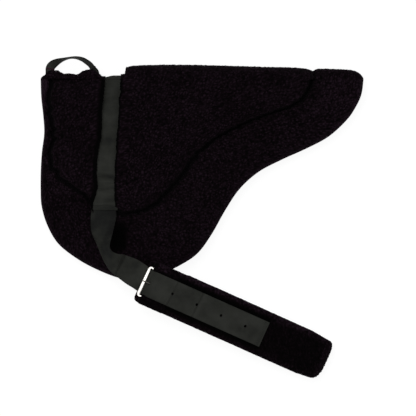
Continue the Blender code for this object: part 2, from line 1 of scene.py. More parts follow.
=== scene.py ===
# Bareback pad, folded along its spine and seen from above: fleece, webbing, buckles and girth.
# Metres. X runs from the withers to the tail, Y up to the spine, Z up through the fold.
import json
import math
from itertools import product

import bpy
import numpy as np
from mathutils import Matrix

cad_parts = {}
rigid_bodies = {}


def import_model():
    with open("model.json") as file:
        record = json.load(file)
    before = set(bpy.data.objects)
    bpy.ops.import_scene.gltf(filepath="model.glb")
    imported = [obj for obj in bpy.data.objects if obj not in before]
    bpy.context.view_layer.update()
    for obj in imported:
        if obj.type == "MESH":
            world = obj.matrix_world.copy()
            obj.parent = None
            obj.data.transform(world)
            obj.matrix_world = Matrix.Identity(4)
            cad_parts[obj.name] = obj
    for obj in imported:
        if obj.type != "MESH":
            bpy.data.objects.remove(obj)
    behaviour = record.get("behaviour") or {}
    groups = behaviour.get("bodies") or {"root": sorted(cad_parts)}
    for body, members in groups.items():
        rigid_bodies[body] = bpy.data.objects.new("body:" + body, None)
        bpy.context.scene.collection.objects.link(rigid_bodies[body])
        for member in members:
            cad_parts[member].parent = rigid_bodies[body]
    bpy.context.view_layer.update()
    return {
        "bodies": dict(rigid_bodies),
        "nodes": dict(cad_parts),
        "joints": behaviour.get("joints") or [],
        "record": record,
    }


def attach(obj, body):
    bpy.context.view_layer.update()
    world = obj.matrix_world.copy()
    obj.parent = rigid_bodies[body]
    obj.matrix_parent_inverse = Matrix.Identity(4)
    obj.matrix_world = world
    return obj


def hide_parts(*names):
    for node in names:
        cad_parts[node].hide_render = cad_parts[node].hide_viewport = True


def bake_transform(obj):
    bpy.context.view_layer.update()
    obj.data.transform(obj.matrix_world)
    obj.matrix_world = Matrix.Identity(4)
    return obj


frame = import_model()

# sizes that several pieces share
pad = {
    "length": 0.618,
    "drop": 0.3834,
    "spineY": 0.2643,
    "middleZ": 0.0263,
    "base": 0.0046,  # top of the lining, over the middle plane
    "panelRise": 0.0217,
    "skirtRise": 0.014,
    "gap": 0.0006,  # between neighbouring panels
}
web = {
    "width": 0.0508,
    "thick": 0.0024,
    "startHeight": 0.0076,
    "endHeight": 0.0188,
    "edgeThinner": 0.55,  # how much thinner the webbing is at its edges
    "crease": 0.0034,  # a crease of this depth gets the most painted shade
}
halfWeb = web["width"] / 2
clear = 0.0003  # between pieces that lie on each other


def smoothLine(points, steps=16):
    # a cubic through every point, whose slope at a point is half the way between its neighbours
    p = np.asarray(points, float)
    ends = np.vstack([2 * p[0] - p[1], p, 2 * p[-1] - p[-2]])
    t = (np.arange(steps) / steps)[None, :, None]
    a, b, c, d = ends[:-3, None], ends[1:-2, None], ends[2:-1, None], ends[3:, None]
    line = b + (c - a) * t / 2 + (2 * a - 5 * b + 4 * c - d) * t**2 / 2
    line = line + (3 * b - a - 3 * c + d) * t**3 / 2
    return np.vstack([line.reshape(-1, p.shape[1]), p[-1:]])


def lengthAlong(line):
    return np.r_[0, np.cumsum(np.linalg.norm(np.diff(line, axis=0), axis=1))]


def atParameter(line, parameter, where):
    return np.stack([np.interp(where, parameter, axis) for axis in line.T], axis=1)


def evenly(line, count):
    along = lengthAlong(line)
    return atParameter(line, along, np.linspace(0, along[-1], count))


def together(*coordinates):
    # coordinates whose shapes fit, as one array of points
    return np.stack(np.broadcast_arrays(*coordinates), axis=-1)


def spot(shares, height=0.0):
    # shares of the pad's length and drop, and a height over the middle plane
    x, y = np.moveaxis(np.asarray(shares, float), -1, 0)
    return together((x - 0.5) * pad["length"], pad["spineY"] - y * pad["drop"], height)


def onSide(points, side):
    # heights over the middle plane become world heights, up for the near side and down for the off side
    points = np.array(points, float)
    points[..., 2] = pad["middleZ"] + side * points[..., 2]
    return points


def through(matrix, points):
    m = np.array(matrix)
    return np.asarray(points, float) @ m[:3, :3].T + m[:3, 3]


def directionIn(matrix, axis):
    return np.array(matrix)[:3, :3] @ axis


def profile(value, pairs):
    # reads a value off a line through pairs
    return np.interp(value, *np.array(pairs).T)


def fullTurn(count):
    return np.linspace(0, 2 * math.pi, count + 1)[:-1]


def unit(vectors):
    return vectors / np.maximum(np.linalg.norm(vectors, axis=-1, keepdims=True), 1e-12)


def bell(distance, power=2):
    return np.exp(-np.abs(distance) ** power)


def rising(value, start, run):
    # 0 up to the start, 1 from a run further on
    return np.clip((value - start) / run, 0, 1)


def roundedEnd(distance, run):
    # a quarter circle, from 0 at an end to 1 a run further in
    return np.sqrt(1 - (1 - rising(distance, 0, run)) ** 2)


def hashed(cell, salt):
    # a whole-number scramble of each cell, between 0 and 1
    n = cell[..., 0] * 73856093 ^ cell[..., 1] * 19349663 ^ cell[..., 2] * 83492791 ^ salt * 40503
    n = (n ^ (n >> 13)) * 1274126177 & 0xFFFFFFFF
    n = (n ^ (n >> 15)) * 668265263 & 0xFFFFFFFF
    return ((n ^ (n >> 16)) & 0xFFFFFF) / 0x1000000


def cellDistance(points, size):
    # distance in cells to the nearest and to the second nearest of one scattered centre for each cell
    q = points / size
    base = np.floor(q).astype(np.int64)
    near = np.full(q.shape[:-1], 9.0)
    second = near.copy()
    for step in product((-1, 0, 1), repeat=3):
        cell = base + np.array(step)
        centre = cell + np.stack([hashed(cell, salt) for salt in (1, 2, 3)], axis=-1)
        far = np.linalg.norm(centre - q, axis=-1)
        second = np.minimum(np.maximum(far, near), second)
        near = np.minimum(near, far)
    return near, second


def softNoise(points, size, salt=7):
    # each cell's corner has its own value, and the eight are mixed smoothly, between 0 and 1
    q = np.asarray(points, float) / size
    base = np.floor(q).astype(np.int64)
    f = q - base
    f = f * f * (3 - 2 * f)
    total = 0
    for step in product((0, 1), repeat=3):
        share = np.prod(np.where(step, f, 1 - f), axis=-1)
        total = total + share * hashed(base + np.array(step), salt)
    return total


def addObject(name, data):
    obj = bpy.data.objects.new(name, data)
    bpy.context.scene.collection.objects.link(obj)
    return obj


def stepsAlong(points, closed=False):
    if closed:
        return np.roll(points, -1, axis=0) - np.roll(points, 1, axis=0)
    return np.gradient(points, axis=0)


def ringNormals(rings, closed=False):
    # the cross product of the steps around and along at every point, and whether it points outwards
    aroundStep = np.roll(rings, -1, axis=1) - np.roll(rings, 1, axis=1)
    normal = unit(np.cross(aroundStep, stepsAlong(rings, closed)))
    return normal, np.sum(normal * (rings - rings.mean(axis=1, keepdims=True))) >= 0


def loft(name, rings, closed=False, uv=None, values=None, valuesName="pileShade"):
    # rings (along, around, 3) become a tube: each ring is joined to the next, and the ends are capped.
    # Faces point away from the middle of their ring.
    rows, columns = rings.shape[:2]
    index = np.arange(rows * columns).reshape(rows, columns)
    low = index if closed else index[:-1]
    high = np.roll(index, -1, axis=0) if closed else index[1:]
    around = (low, np.roll(low, -1, axis=1), np.roll(high, -1, axis=1), high)
    quads = np.stack(around, axis=-1).reshape(-1, 4)
    caps = [] if closed else [index[0, ::-1], index[-1]]
    if not ringNormals(rings, closed)[1]:
        quads = quads[:, ::-1]
        caps = [cap[::-1] for cap in caps]
    loops = np.concatenate([quads.ravel(), *caps]).astype(np.int32)
    totals = np.r_[np.full(len(quads), 4), [len(cap) for cap in caps]].astype(np.int32)
    mesh = bpy.data.meshes.new(name)
    mesh.vertices.add(rows * columns)
    mesh.vertices.foreach_set("co", rings.reshape(-1).astype(np.float32))
    mesh.loops.add(len(loops))
    mesh.loops.foreach_set("vertex_index", loops)
    mesh.polygons.add(len(totals))
    mesh.polygons.foreach_set("loop_start", np.r_[0, np.cumsum(totals)[:-1]].astype(np.int32))
    mesh.polygons.foreach_set("loop_total", totals)
    mesh.polygons.foreach_set("use_smooth", np.ones(len(totals), bool))
    mesh.update(calc_edges=True)
    if uv is not None:
        corners = uv.reshape(-1, 2)[loops]
        mesh.uv_layers.new(name="flat").data.foreach_set("uv", corners.ravel().astype(np.float32))
    if values is not None:
        layer = mesh.attributes.new(valuesName, "FLOAT", "POINT")
        layer.data.foreach_set("value", values.ravel().astype(np.float32))
    mesh.validate()
    return addObject(name, mesh)


fleece = {
    "spacing": 0.0016,  # between the surface's points
    "depth": 0.0026,  # from the tip of a curl to its root
    "curl": 0.0047,
    "strand": 0.0027,
    "clump": 0.026,
}


def pointsOver(length):
    return int(length / fleece["spacing"])


def fleeceHeight(points):
    # 0 at a root, 1 at a tip: round tufts, ridges where two strands meet, and slow clumps under both
    sway = np.stack([softNoise(points, fleece["curl"] * 1.7, salt) - 0.5 for salt in (11, 12, 13)], axis=-1)
    bent = points + sway * fleece["curl"] * 1.4
    near, second = cellDistance(bent, fleece["curl"])
    tuft = np.clip(1.15 - near, 0, 1)
    split = np.clip((second - near) * 2.2, 0, 1)
    strand = 1 - np.abs(2 * softNoise(bent, fleece["strand"], 5) - 1) * 1.6
    clump = softNoise(points, fleece["clump"], 9)
    return np.clip(0.68 * tuft * (0.35 + 0.65 * split) + 0.26 * strand + 0.12 * clump, 0, 1)


def withPile(rings, mask, shade=1.0):
    # every point goes in by what its curl falls short of a tip, and mask keeps the hidden base flat. Its
    # value is the curl's height times the shade: painted shade where shade is under 1, painted light where it
    # is over 1.
    normal, outward = ringNormals(rings)
    height = fleeceHeight(rings)
    depth = fleece["depth"] * (1 - height) * mask * (1 if outward else -1)
    return rings - normal * depth[..., None], np.minimum(height * shade, 1)


def fleeceCover(name, rings, mask, shade, body, stands, spineRows=()):
    # a fleece piece with its pile, whose rows at the spine stay there
    placed, values = withPile(rings, mask, shade)
    placed[list(spineRows), :, 1] = pad["spineY"]
    obj = loft(name, placed, values=values)
    finish(obj, fleeceCloth, body, stands)


def roundedSection(width, roundLeft, roundRight, columns, turns=9):
    # distances from the left edge and heights of a section whose two sides are quarter ellipses: the
    # angle runs evenly up each side, and the distance runs evenly between them
    angle = np.linspace(0, math.pi / 2, turns)[None, :-1]
    left = np.minimum(roundLeft, width * 0.46)[:, None]
    right = np.minimum(roundRight, width * 0.46)[:, None]
    middle = np.linspace(0, 1, columns)[None, :]
    flat = left + (width[:, None] - left - right) * middle
    up = left * (1 - np.cos(angle))
    down = width[:, None] - right * (1 - np.cos(angle[:, ::-1]))
    distance = np.concatenate([up, flat, down], axis=1)
    rise = np.concatenate([np.sin(angle), np.ones_like(middle), np.sin(angle[:, ::-1])], axis=1)
    return distance, np.broadcast_to(rise, distance.shape)


def finish(obj, material, body=None, stands=()):
    obj.data.materials.append(material)
    if body:
        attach(obj, body)
    if stands:
        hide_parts(*stands)
    return obj


def toLinear(text):
    # an sRGB hex colour as linear red, green, blue
    values = [int(text[k : k + 2], 16) / 255 for k in (1, 3, 5)]
    linear = [v / 12.92 if v <= 0.04045 else ((v + 0.055) / 1.055) ** 2.4 for v in values]
    return (*linear, 1.0)


def setInputs(tree, node, inputs):
    # an input is linked where it gets another node's output, and set where it gets a value
    for key, value in inputs.items():
        if isinstance(value, bpy.types.NodeSocket):
            tree.links.new(value, node.inputs[key])
        else:
            node.inputs[key].default_value = value


def addNode(tree, kind, inputs, out=0, stops=(), **settings):
    # adds a node with its settings, colour stops and inputs, and gives one of its outputs
    node = tree.nodes.new(kind)
    for key, value in settings.items():
        setattr(node, key, value)
    if stops:
        elements = node.color_ramp.elements
        for _ in stops[2:]:
            elements.new(0.5)
        for element, (at, colour) in zip(elements, stops):
            element.position = at
            element.color = toLinear(colour)
    setInputs(tree, node, inputs)
    return node.outputs[out]


def newMaterial(name):
    material = bpy.data.materials.new(name)
    material.use_nodes = True
    tree = material.node_tree
    place = addNode(tree, "ShaderNodeTexCoord", {}, "Object")
    return material, tree, tree.nodes["Principled BSDF"], place


def fleeceMaterial():
    # acrylic curly fleece, knitted: dull and nearly black; its colour is painted shade toward the roots of
    # the curls, paler and a little warmer at the tips, and carries the painted light and shade given to each
    # piece
    material, tree, shader, place = newMaterial("acrylicCurlyFleece")
    pileShade = addNode(tree, "ShaderNodeAttribute", {}, "Fac", attribute_name="pileShade")
    stops = [(0.1, "#000000"), (0.32, "#040203"), (0.56, "#0d070b"), (0.95, "#1d131b")]
    # single fibres are 0.03 mm: drawn as strands of about 1.2 mm
    curls = {"Vector": place, "Scale": 1 / 0.0012, "Detail": 4.0, "Roughness": 0.65, "Distortion": 1.2}
    strands = addNode(tree, "ShaderNodeTexNoise", curls)
    setInputs(tree, shader, {
        "Base Color": addNode(tree, "ShaderNodeValToRGB", {0: pileShade}, stops=stops),
        "Normal": addNode(tree, "ShaderNodeBump", {"Height": strands, "Strength": 0.7, "Distance": 0.0008}),
        "Roughness": 1.0, "Specular IOR Level": 0.03,
        "Sheen Weight": 0.03, "Sheen Roughness": 0.45, "Sheen Tint": toLinear("#8a7a86"),
    })  # fmt: skip
    return material


def liningMaterial():
    # knitted polyester backing: flat and matt
    material, tree, shader, place = newMaterial("knittedPolyesterLining")
    # knit loops are about 1 mm: drawn at 1.6 mm to show
    loops = addNode(tree, "ShaderNodeTexVoronoi", {"Vector": place, "Scale": 1 / 0.0016})
    stops = [(0.0, "#070507"), (0.9, "#020102")]
    setInputs(tree, shader, {
        "Base Color": addNode(tree, "ShaderNodeValToRGB", {0: loops}, stops=stops),
        "Normal": addNode(tree, "ShaderNodeBump", {"Height": loops, "Strength": 0.4, "Distance": 0.0004}),
        "Roughness": 0.95, "Specular IOR Level": 0.05,
    })  # fmt: skip
    return material


def webbingMaterial():
    # woven polyester webbing: dull grey green, with ribs across and finer warp threads along
    material, tree, shader, place = newMaterial("wovenPolyesterWebbing")
    maths = "ShaderNodeMath"
    flat = addNode(tree, "ShaderNodeUVMap", {}, uv_map="flat")
    across, along = (addNode(tree, "ShaderNodeSeparateXYZ", {"Vector": flat}, axis) for axis in "XY")

    def stripes(source, period, phase=0.0):
        # the sine of the distance in turns of one period, ahead by the phase
        turned = {0: source, 1: 2 * math.pi / period, 2: phase}
        turned = addNode(tree, maths, turned, operation="MULTIPLY_ADD")
        return addNode(tree, maths, {0: turned}, operation="SINE")

    # threads of 0.6 mm are drawn at 1.7 mm along and 1.4 mm across, so that they show
    sign = addNode(tree, maths, {0: stripes(across, 0.0034), 1: 1.4}, operation="MULTIPLY")
    ribs = stripes(along, 0.0028, sign)
    weave = addNode(tree, maths, {0: stripes(across, 0.0017), 1: 0.5, 2: ribs}, operation="MULTIPLY_ADD")
    # rubbed and dusty patches of about 26 mm
    wear = addNode(tree, "ShaderNodeTexNoise", {"Vector": place, "Scale": 1 / 0.026, "Detail": 3.0})
    tone = addNode(tree, maths, {0: weave, 1: 0.07, 2: wear}, operation="MULTIPLY_ADD")
    # painted shade in creases, along the handle's edges and on the strap's free length; painted light on
    # ridges and where the value is below 0
    paintedShade = addNode(tree, "ShaderNodeAttribute", {}, "Fac", attribute_name="paintedShade")
    tone = addNode(tree, maths, {0: paintedShade, 1: -0.36, 2: tone}, operation="MULTIPLY_ADD")
    stops = [(0.0, "#060606"), (0.2, "#101110"), (0.4, "#1d1e1b"), (0.75, "#282926")]
    setInputs(tree, shader, {
        "Base Color": addNode(tree, "ShaderNodeValToRGB", {0: tone}, stops=stops),
        "Normal": addNode(tree, "ShaderNodeBump", {"Height": weave, "Strength": 0.35, "Distance": 0.0004}),
        "Roughness": 0.65, "Specular IOR Level": 0.065, "Sheen Weight": 0.01, "Sheen Roughness": 0.4,
    })  # fmt: skip
    return material


def nickelMaterial(name, colour):
    # nickel plated steel wire, barrel polished: a little warm, with faint rubbing of about 3 mm
    material, tree, shader, place = newMaterial(name)
    rub = addNode(tree, "ShaderNodeTexNoise", {"Vector": place, "Scale": 1 / 0.003, "Detail": 4.0})
    setInputs(tree, shader, {
        "Base Color": toLinear(colour),
        "Metallic": 1.0,
        "Roughness": addNode(tree, "ShaderNodeMapRange", {"Value": rub, "To Min": 0.34, "To Max": 0.48}),
        "Normal": addNode(tree, "ShaderNodeBump", {"Height": rub, "Strength": 0.08, "Distance": 0.0002}),
    })
    return material


def threadMaterial(name, colour, twistColour):
    # bonded nylon thread: dull, and darker in its twist of about 0.8 mm
    material, tree, shader, place = newMaterial(name)
    twist = addNode(tree, "ShaderNodeTexNoise", {"Vector": place, "Scale": 1 / 0.0008, "Detail": 2.0})
    stops = [(0.3, twistColour), (0.7, colour)]
    setInputs(tree, shader, {
        "Base Color": addNode(tree, "ShaderNodeValToRGB", {0: twist}, stops=stops),
        "Roughness": 0.6, "Specular IOR Level": 0.1,
    })  # fmt: skip
    return material


fleeceCloth = fleeceMaterial()
liningCloth = liningMaterial()
webbing = webbingMaterial()
nickel = nickelMaterial("nickelPlatedSteel", "#f7f4ee")
# a darker copy of the same nickel for the tongue: painted shade, which dims its highlight
shadedNickel = nickelMaterial("shadedNickelPlatedSteel", "#4a4844")
darkThread = threadMaterial("blackNylonThread", "#141414", "#0c0c0c")
redThread = threadMaterial("maroonNylonThread", "#341524", "#1f0c15")
print("materials made")

# the camera looks straight down from far away, as a long lens over a table does
camera = {"x": 0.0110, "y": 0.0176, "height": 4.0, "width": 0.7975, "plane": 0.035, "sensor": 36.0}
lens = bpy.data.cameras.new("camera")
lens.sensor_width = camera["sensor"]
lens.lens = camera["sensor"] * (camera["height"] - camera["plane"]) / camera["width"]
lens.clip_end = 50
eye = addObject("camera", lens)
eye.location = (camera["x"], camera["y"], camera["height"])
bpy.context.scene.camera = eye

seamShares = [
    (0.028, 0.0), (0.025, 0.09), (0.029, 0.18), (0.04, 0.28), (0.03, 0.35), (0.03, 0.415),
    (0.048, 0.467), (0.0725, 0.509), (0.105, 0.547), (0.14, 0.583), (0.164, 0.625), (0.189, 0.66),
    (0.22, 0.67), (0.26, 0.67), (0.307, 0.66), (0.35, 0.625), (0.384, 0.575), (0.416, 0.52),
    (0.4505, 0.4485), (0.489, 0.364), (0.533, 0.305), (0.592, 0.25), (0.654, 0.205), (0.722, 0.165),
    (0.776, 0.134), (0.8105, 0.0935), (0.8335, 0.044), (0.8445, 0.0),
]  # fmt: skip
outlineShares = [
    (0.001, 0.0), (0.003, 0.09), (0.009, 0.18), (0.012, 0.27), (0.005, 0.36), (0.001, 0.45),
    (0.0, 0.55), (0.003, 0.63), (0.019, 0.72), (0.05, 0.81), (0.096, 0.875), (0.158, 0.935),
    (0.239, 0.988), (0.307, 0.998), (0.369, 0.97), (0.431, 0.925), (0.485, 0.865), (0.528, 0.77),
    (0.57, 0.65), (0.614, 0.545), (0.673, 0.46), (0.746, 0.398), (0.819, 0.345), (0.889, 0.285),
    (0.947, 0.2), (0.977, 0.128), (0.992, 0.07), (0.998, 0.0),
]  # fmt: skip
channelShares = [
    (0.224, 0.0), (0.22, 0.13), (0.212, 0.28), (0.205, 0.41), (0.202, 0.49), (0.198, 0.57), (0.197, 0.655),
]  # fmt: skip
seamLine = smoothLine(spot(seamShares))
outlineLine = smoothLine(spot(outlineShares))
frontSeam = smoothLine(spot(seamShares[:10] + [(0.15, 0.606), (0.1525, 0.636), (0.1535, 0.66)]))
seatSeam = smoothLine(spot(seamShares[13:]))[::-1]
channelLine = smoothLine(spot(channelShares))


skirt = {
    "roundSeam": 0.005,
    "roundEdge": 0.014,
    "swell": 0.0018,
    "slit": 0.0021,  # half the gap that the pile leaves over a seam
    "wander": 0.0068,  # how far that gap wanders
    "wanderSize": 0.0062,
    # pressed in under the lifted strap: its middle and its half sizes
    "hollow": (-0.1605, -0.038, 0.015, 0.027),
    # how dark the painted shadow of the lifted strap is in the hollow
    "hollowShade": 0.92,
    # painted sheen at the outline, painted light towards the tail, and lighter at the front of the spine: how
    # much lighter the pile is there
    "outlineShade": 0.7,
    "tailShade": 0.18,
    "frontShade": 1.2,
}


def inHollow(points):
    # 1 in the middle of the hollow, and less with the fourth power of the distance from it
    x0, y0, halfX, halfY = skirt["hollow"]
    return bell((points[..., 0] - x0) / halfX, 4) * bell((points[..., 1] - y0) / halfY, 4)


def wandering(line):
    return skirt["wander"] * (softNoise(line, skirt["wanderSize"], 31) - 0.5)


def fromEdge(left, right):
    # unit steps and distances from one edge to the other
    width = np.linalg.norm(right - left, axis=1)
    return (right - left) / width[:, None], width


def closeBelow(top, rise):
    # a few points along the lining close each section, and have no rise
    share = np.linspace(1, 0, 5)[1:-1][None, :, None]
    below = top[:, :1] + (top[:, -1:] - top[:, :1]) * share
    below[..., 2] = pad["base"]
    return np.concatenate([top, below], axis=1), np.concatenate([rise, np.zeros(below.shape[:2])], axis=1)


def skirtRings():
    # between the seam and the outline: each section is flat on the lining and rounded to both sides
    mean = lengthAlong((seamLine + outlineLine) / 2)
    where = np.linspace(0, mean[-1], pointsOver(mean[-1]))
    inner, outer = (atParameter(line, mean, where) for line in (seamLine, outlineLine))
    across, width = fromEdge(inner, outer)
    ragged = skirt["slit"] + wandering(inner)
    width = width - ragged + skirt["swell"]
    columns = pointsOver(width.max() / 1.1)
    distance, rise = roundedSection(width, skirt["roundSeam"], skirt["roundEdge"], columns)
    top = inner[:, None] + across[:, None] * (distance + ragged[:, None])[..., None]
    top[..., 2] = pad["base"] + pad["skirtRise"] * rise * (1 - 0.8 * inHollow(top))
    return closeBelow(top, rise)


cloth = {
    "every": 4,  # one coarse point for so many fine ones
    "pressure": 4.0,
    "frames": 20,
    "cap": 0.006,
    "shrunk": 0.88,  # the height before it is blown up
    "stiffness": 0.8,
    "endRun": 0.03,
}


def mixedRows(values, where):
    # a row for each place in where, mixed from the two rows of values beside it
    low = np.minimum(where.astype(int), len(values) - 2)
    part = (where - low)[:, None, None]
    return values[low] * (1 - part) + values[low + 1] * part


def puffed(name, rings, rise, limit):
    # blows the cover up like a cushion. A coarse copy is simulated as cloth, held at the seams and at the
    # lining. Its moves, capped and weighted by the square of the rise, are spread back over the fine rings.
    rings = rings.copy()
    rings[..., 2] = pad["base"] + (rings[..., 2] - pad["base"]) * cloth["shrunk"]
    rows = np.unique(np.r_[np.arange(0, len(rings), cloth["every"]), len(rings) - 1])
    columns = np.arange(0, rings.shape[1], cloth["every"])
    coarse = rings[rows][:, columns]
    obj = loft(name + "Cloth", coarse)
    held = rise[rows][:, columns] < 0.5
    held[[0, -1]] = True
    obj.vertex_groups.new(name="held").add(np.flatnonzero(held).tolist(), 1.0, "REPLACE")
    settings = obj.modifiers.new("cloth", "CLOTH").settings
    settings.vertex_group_mass = "held"
    settings.use_pressure = True
    settings.uniform_pressure_force = cloth["pressure"]
    settings.effector_weights.gravity = 0
    settings.bending_stiffness = cloth["stiffness"]
    for frameNumber in range(1, cloth["frames"] + 1):
        bpy.context.scene.frame_set(frameNumber)
    shaped = obj.evaluated_get(bpy.context.evaluated_depsgraph_get()).data
    moved = np.empty(len(shaped.vertices) * 3)
    shaped.vertices.foreach_get("co", moved)
    moved = moved.reshape(coarse.shape) - coarse
    mean, most = 1000 * moved[..., 2].mean(), 1000 * moved[..., 2].max()
    print(f"{name}: the cloth rose {mean:.1f} mm, {most:.1f} mm at most")
    bpy.data.objects.remove(obj)
    bpy.context.scene.frame_set(1)
    far = np.linalg.norm(moved, axis=-1, keepdims=True)
    moved = moved * np.minimum(1, cloth["cap"] / np.maximum(far, 1e-9))
    moved = mixedRows(moved, np.interp(np.arange(len(rings)), rows, np.arange(len(rows))))
    moved = np.concatenate([moved, moved[:, :1]], axis=1).swapaxes(0, 1)
    moved = mixedRows(moved, np.arange(rings.shape[1]) / cloth["every"]).swapaxes(0, 1)
    # the ends keep their first height, where they meet the folds over the spine
    row = np.arange(len(rings))
    fromEnd = np.minimum(row, row[::-1]) * fleece["spacing"]
    near = (1 - rising(fromEnd, 0, cloth["endRun"]))[:, None] ** 2
    rings = rings + moved * (rise**2 * (1 - near))[..., None]
    rings[..., 2] = pad["base"] + (rings[..., 2] - pad["base"]) * (1 + (1 / cloth["shrunk"] - 1) * near)
    rings[..., 2] = np.minimum(rings[..., 2], limit)
    return rings


frontRoll = {
    "start": -0.2819,
    "end": -0.2138,
    "run": 0.028,
    # how thick the front panel is at the spine, along X, as a share of the fold's height
    "shares": [(0, 0.5), (0.1, 0.5), (0.35, 0.45), (0.55, 0.42), (0.75, 0.5), (0.93, 0.55), (1, 0.6)],
}


def frontTop(points, height):
    # near the spine the front panel thins to the radius of its roll, with a quarter of a sine
    shares = np.array(frontRoll["shares"])
    x = frontRoll["start"] + shares[:, 0] * (frontRoll["end"] - frontRoll["start"])
    radius = np.interp(points[..., 0], x, shares[:, 1] * pad["middleZ"]) - pad["base"]
    full = np.sin(rising(pad["spineY"] - points[..., 1], 0, frontRoll["run"]) * math.pi / 2)
    return height * (full + (1 - full) * radius / pad["panelRise"])


panel = {
    "round": 0.011,
    "roundSeam": 0.007,
    "wander": 0.0022,  # how far the bulge wanders
    "wanderSize": 0.011,
    # how far the fleece bulges over the webbing's edge, down from the spine
    "frontLip": [
        (0, 0.0173), (0.04, 0.0183), (0.13, 0.0161), (0.245, 0.0152), (0.315, 0.0179),
        (0.41, 0.0198), (0.5, 0.0167), (0.615, 0.0163), (0.72, 0.0165), (0.82, 0.0194),
        (0.87, 0.0148), (0.905, 0.0085), (0.95, 0.0105), (1, 0.0115),
    ],
    "seatLip": [
        (0, 0.019), (0.1, 0.0185), (0.173, 0.0206), (0.31, 0.0191), (0.448, 0.0193), (0.585, 0.0179),
        (0.677, 0.018), (0.814, 0.0159), (0.952, 0.0138), (1, 0.013),
    ],
    "endRound": 0.013,
    "crown": 0.0018,  # how far the near side's cloth may rise past the fold
    "channelGap": 0.0005,
    "pastWebbing": 0.0035,  # how far the panels go on past the sewn webbing's end
}


def panelRings(left, right, lips, channelSide):
    # between two edges that run down from the spine. A side on the channel bulges out over the webbing:
    # its distance falls by the lip times the sine of twice the angle and the square of its sine, over the
    # most that they come to
    rows = pointsOver((lengthAlong(left)[-1] + lengthAlong(right)[-1]) / 2)
    left, right = evenly(left, rows), evenly(right, rows)
    across, width = fromEdge(left, right)
    ragged = skirt["slit"] - wandering(left if channelSide > 0 else right)
    left = left + across * (ragged[:, None] if channelSide > 0 else pad["gap"])
    width = width - pad["gap"] - ragged
    columns = pointsOver(width.max() / 1.15)
    rounds = (panel["round"], panel["roundSeam"])
    distance, rise = roundedSection(width, *rounds[::-channelSide], columns, 26)
    angle = np.arcsin(np.clip(rise, 0, 1))
    most = 0.65
    bump = np.sin(2 * angle) * np.sin(angle) ** 2 / most
    lip = profile(np.linspace(0, 1, rows), lips)
    wander = panel["wander"] * (softNoise((left + right) / 2, panel["wanderSize"], 21) - 0.5)
    count = distance.shape[1]
    onChannel = (np.arange(count) >= count // 2) == (channelSide > 0)
    distance = distance + channelSide * onChannel * bump * (lip + wander)[:, None]
    points = left[:, None] + across[:, None] * distance[..., None]
    fromEnd = lengthAlong((left + right) / 2)
    end = roundedEnd(fromEnd[-1] - fromEnd, panel["endRound"])[:, None]
    height = pad["panelRise"] * rise * end
    points[..., 2] = pad["base"] + (frontTop(points, height) if channelSide > 0 else height)
    return closeBelow(points, rise * np.sqrt(end))


def revolve(section, name, steps, reach, pileMask, grow=(0, 0)):
    # the section's heights over the middle plane become radii of a half turn about the spine. Reach gives the
    # radius at the top of the fold, and the squared cosine mixes it in. The ends grow into their neighbours,
    # so that no gap opens between two folds.
    angle = np.linspace(math.pi / 2, -math.pi / 2, steps)[:, None]
    x, r = section[:, 0], section[:, 2]
    share = (x - x[0]) / (x[-1] - x[0])
    x = x - grow[0] * (1 - share) ** 6 + grow[1] * share**6
    r = r + (profile(x, reach) - r) * np.cos(angle) ** 2
    back = np.linspace(x[-1], x[0], 6)[1:-1]
    x = np.concatenate([x[:1], x, x[-1:], back])
    r = np.pad(r, ((0, 0), (1, 1 + len(back))), constant_values=clear)
    mask = np.pad(pileMask, (1, 1 + len(back)))
    y, z = pad["spineY"] + r * np.cos(angle), pad["middleZ"] + r * np.sin(angle)
    # the pile is shorter over the fold
    shorter = 1 - 0.4 * np.cos(angle) ** 2
    rings, values = withPile(together(x, y, z), mask * shorter)
    return loft(name, rings, values=values)


def overSpine(obj, material, stands):
    # the roll gets its material, its stand-in is hidden, and its place is baked into its mesh
    finish(obj, material, None, stands)
    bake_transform(obj)


forms = {}  # each panel's surface, kept for the other side


def panelForm(name, rings, rise, limit):
    if name not in forms:
        forms[name] = puffed(name, rings, rise, limit)
    return forms[name]


def seamShade(rise):
    # painted shade in a seam: dark, and full colour from a rise of 0.85 on
    return np.maximum(rising(rise, 0.45, 0.4), 0.05)


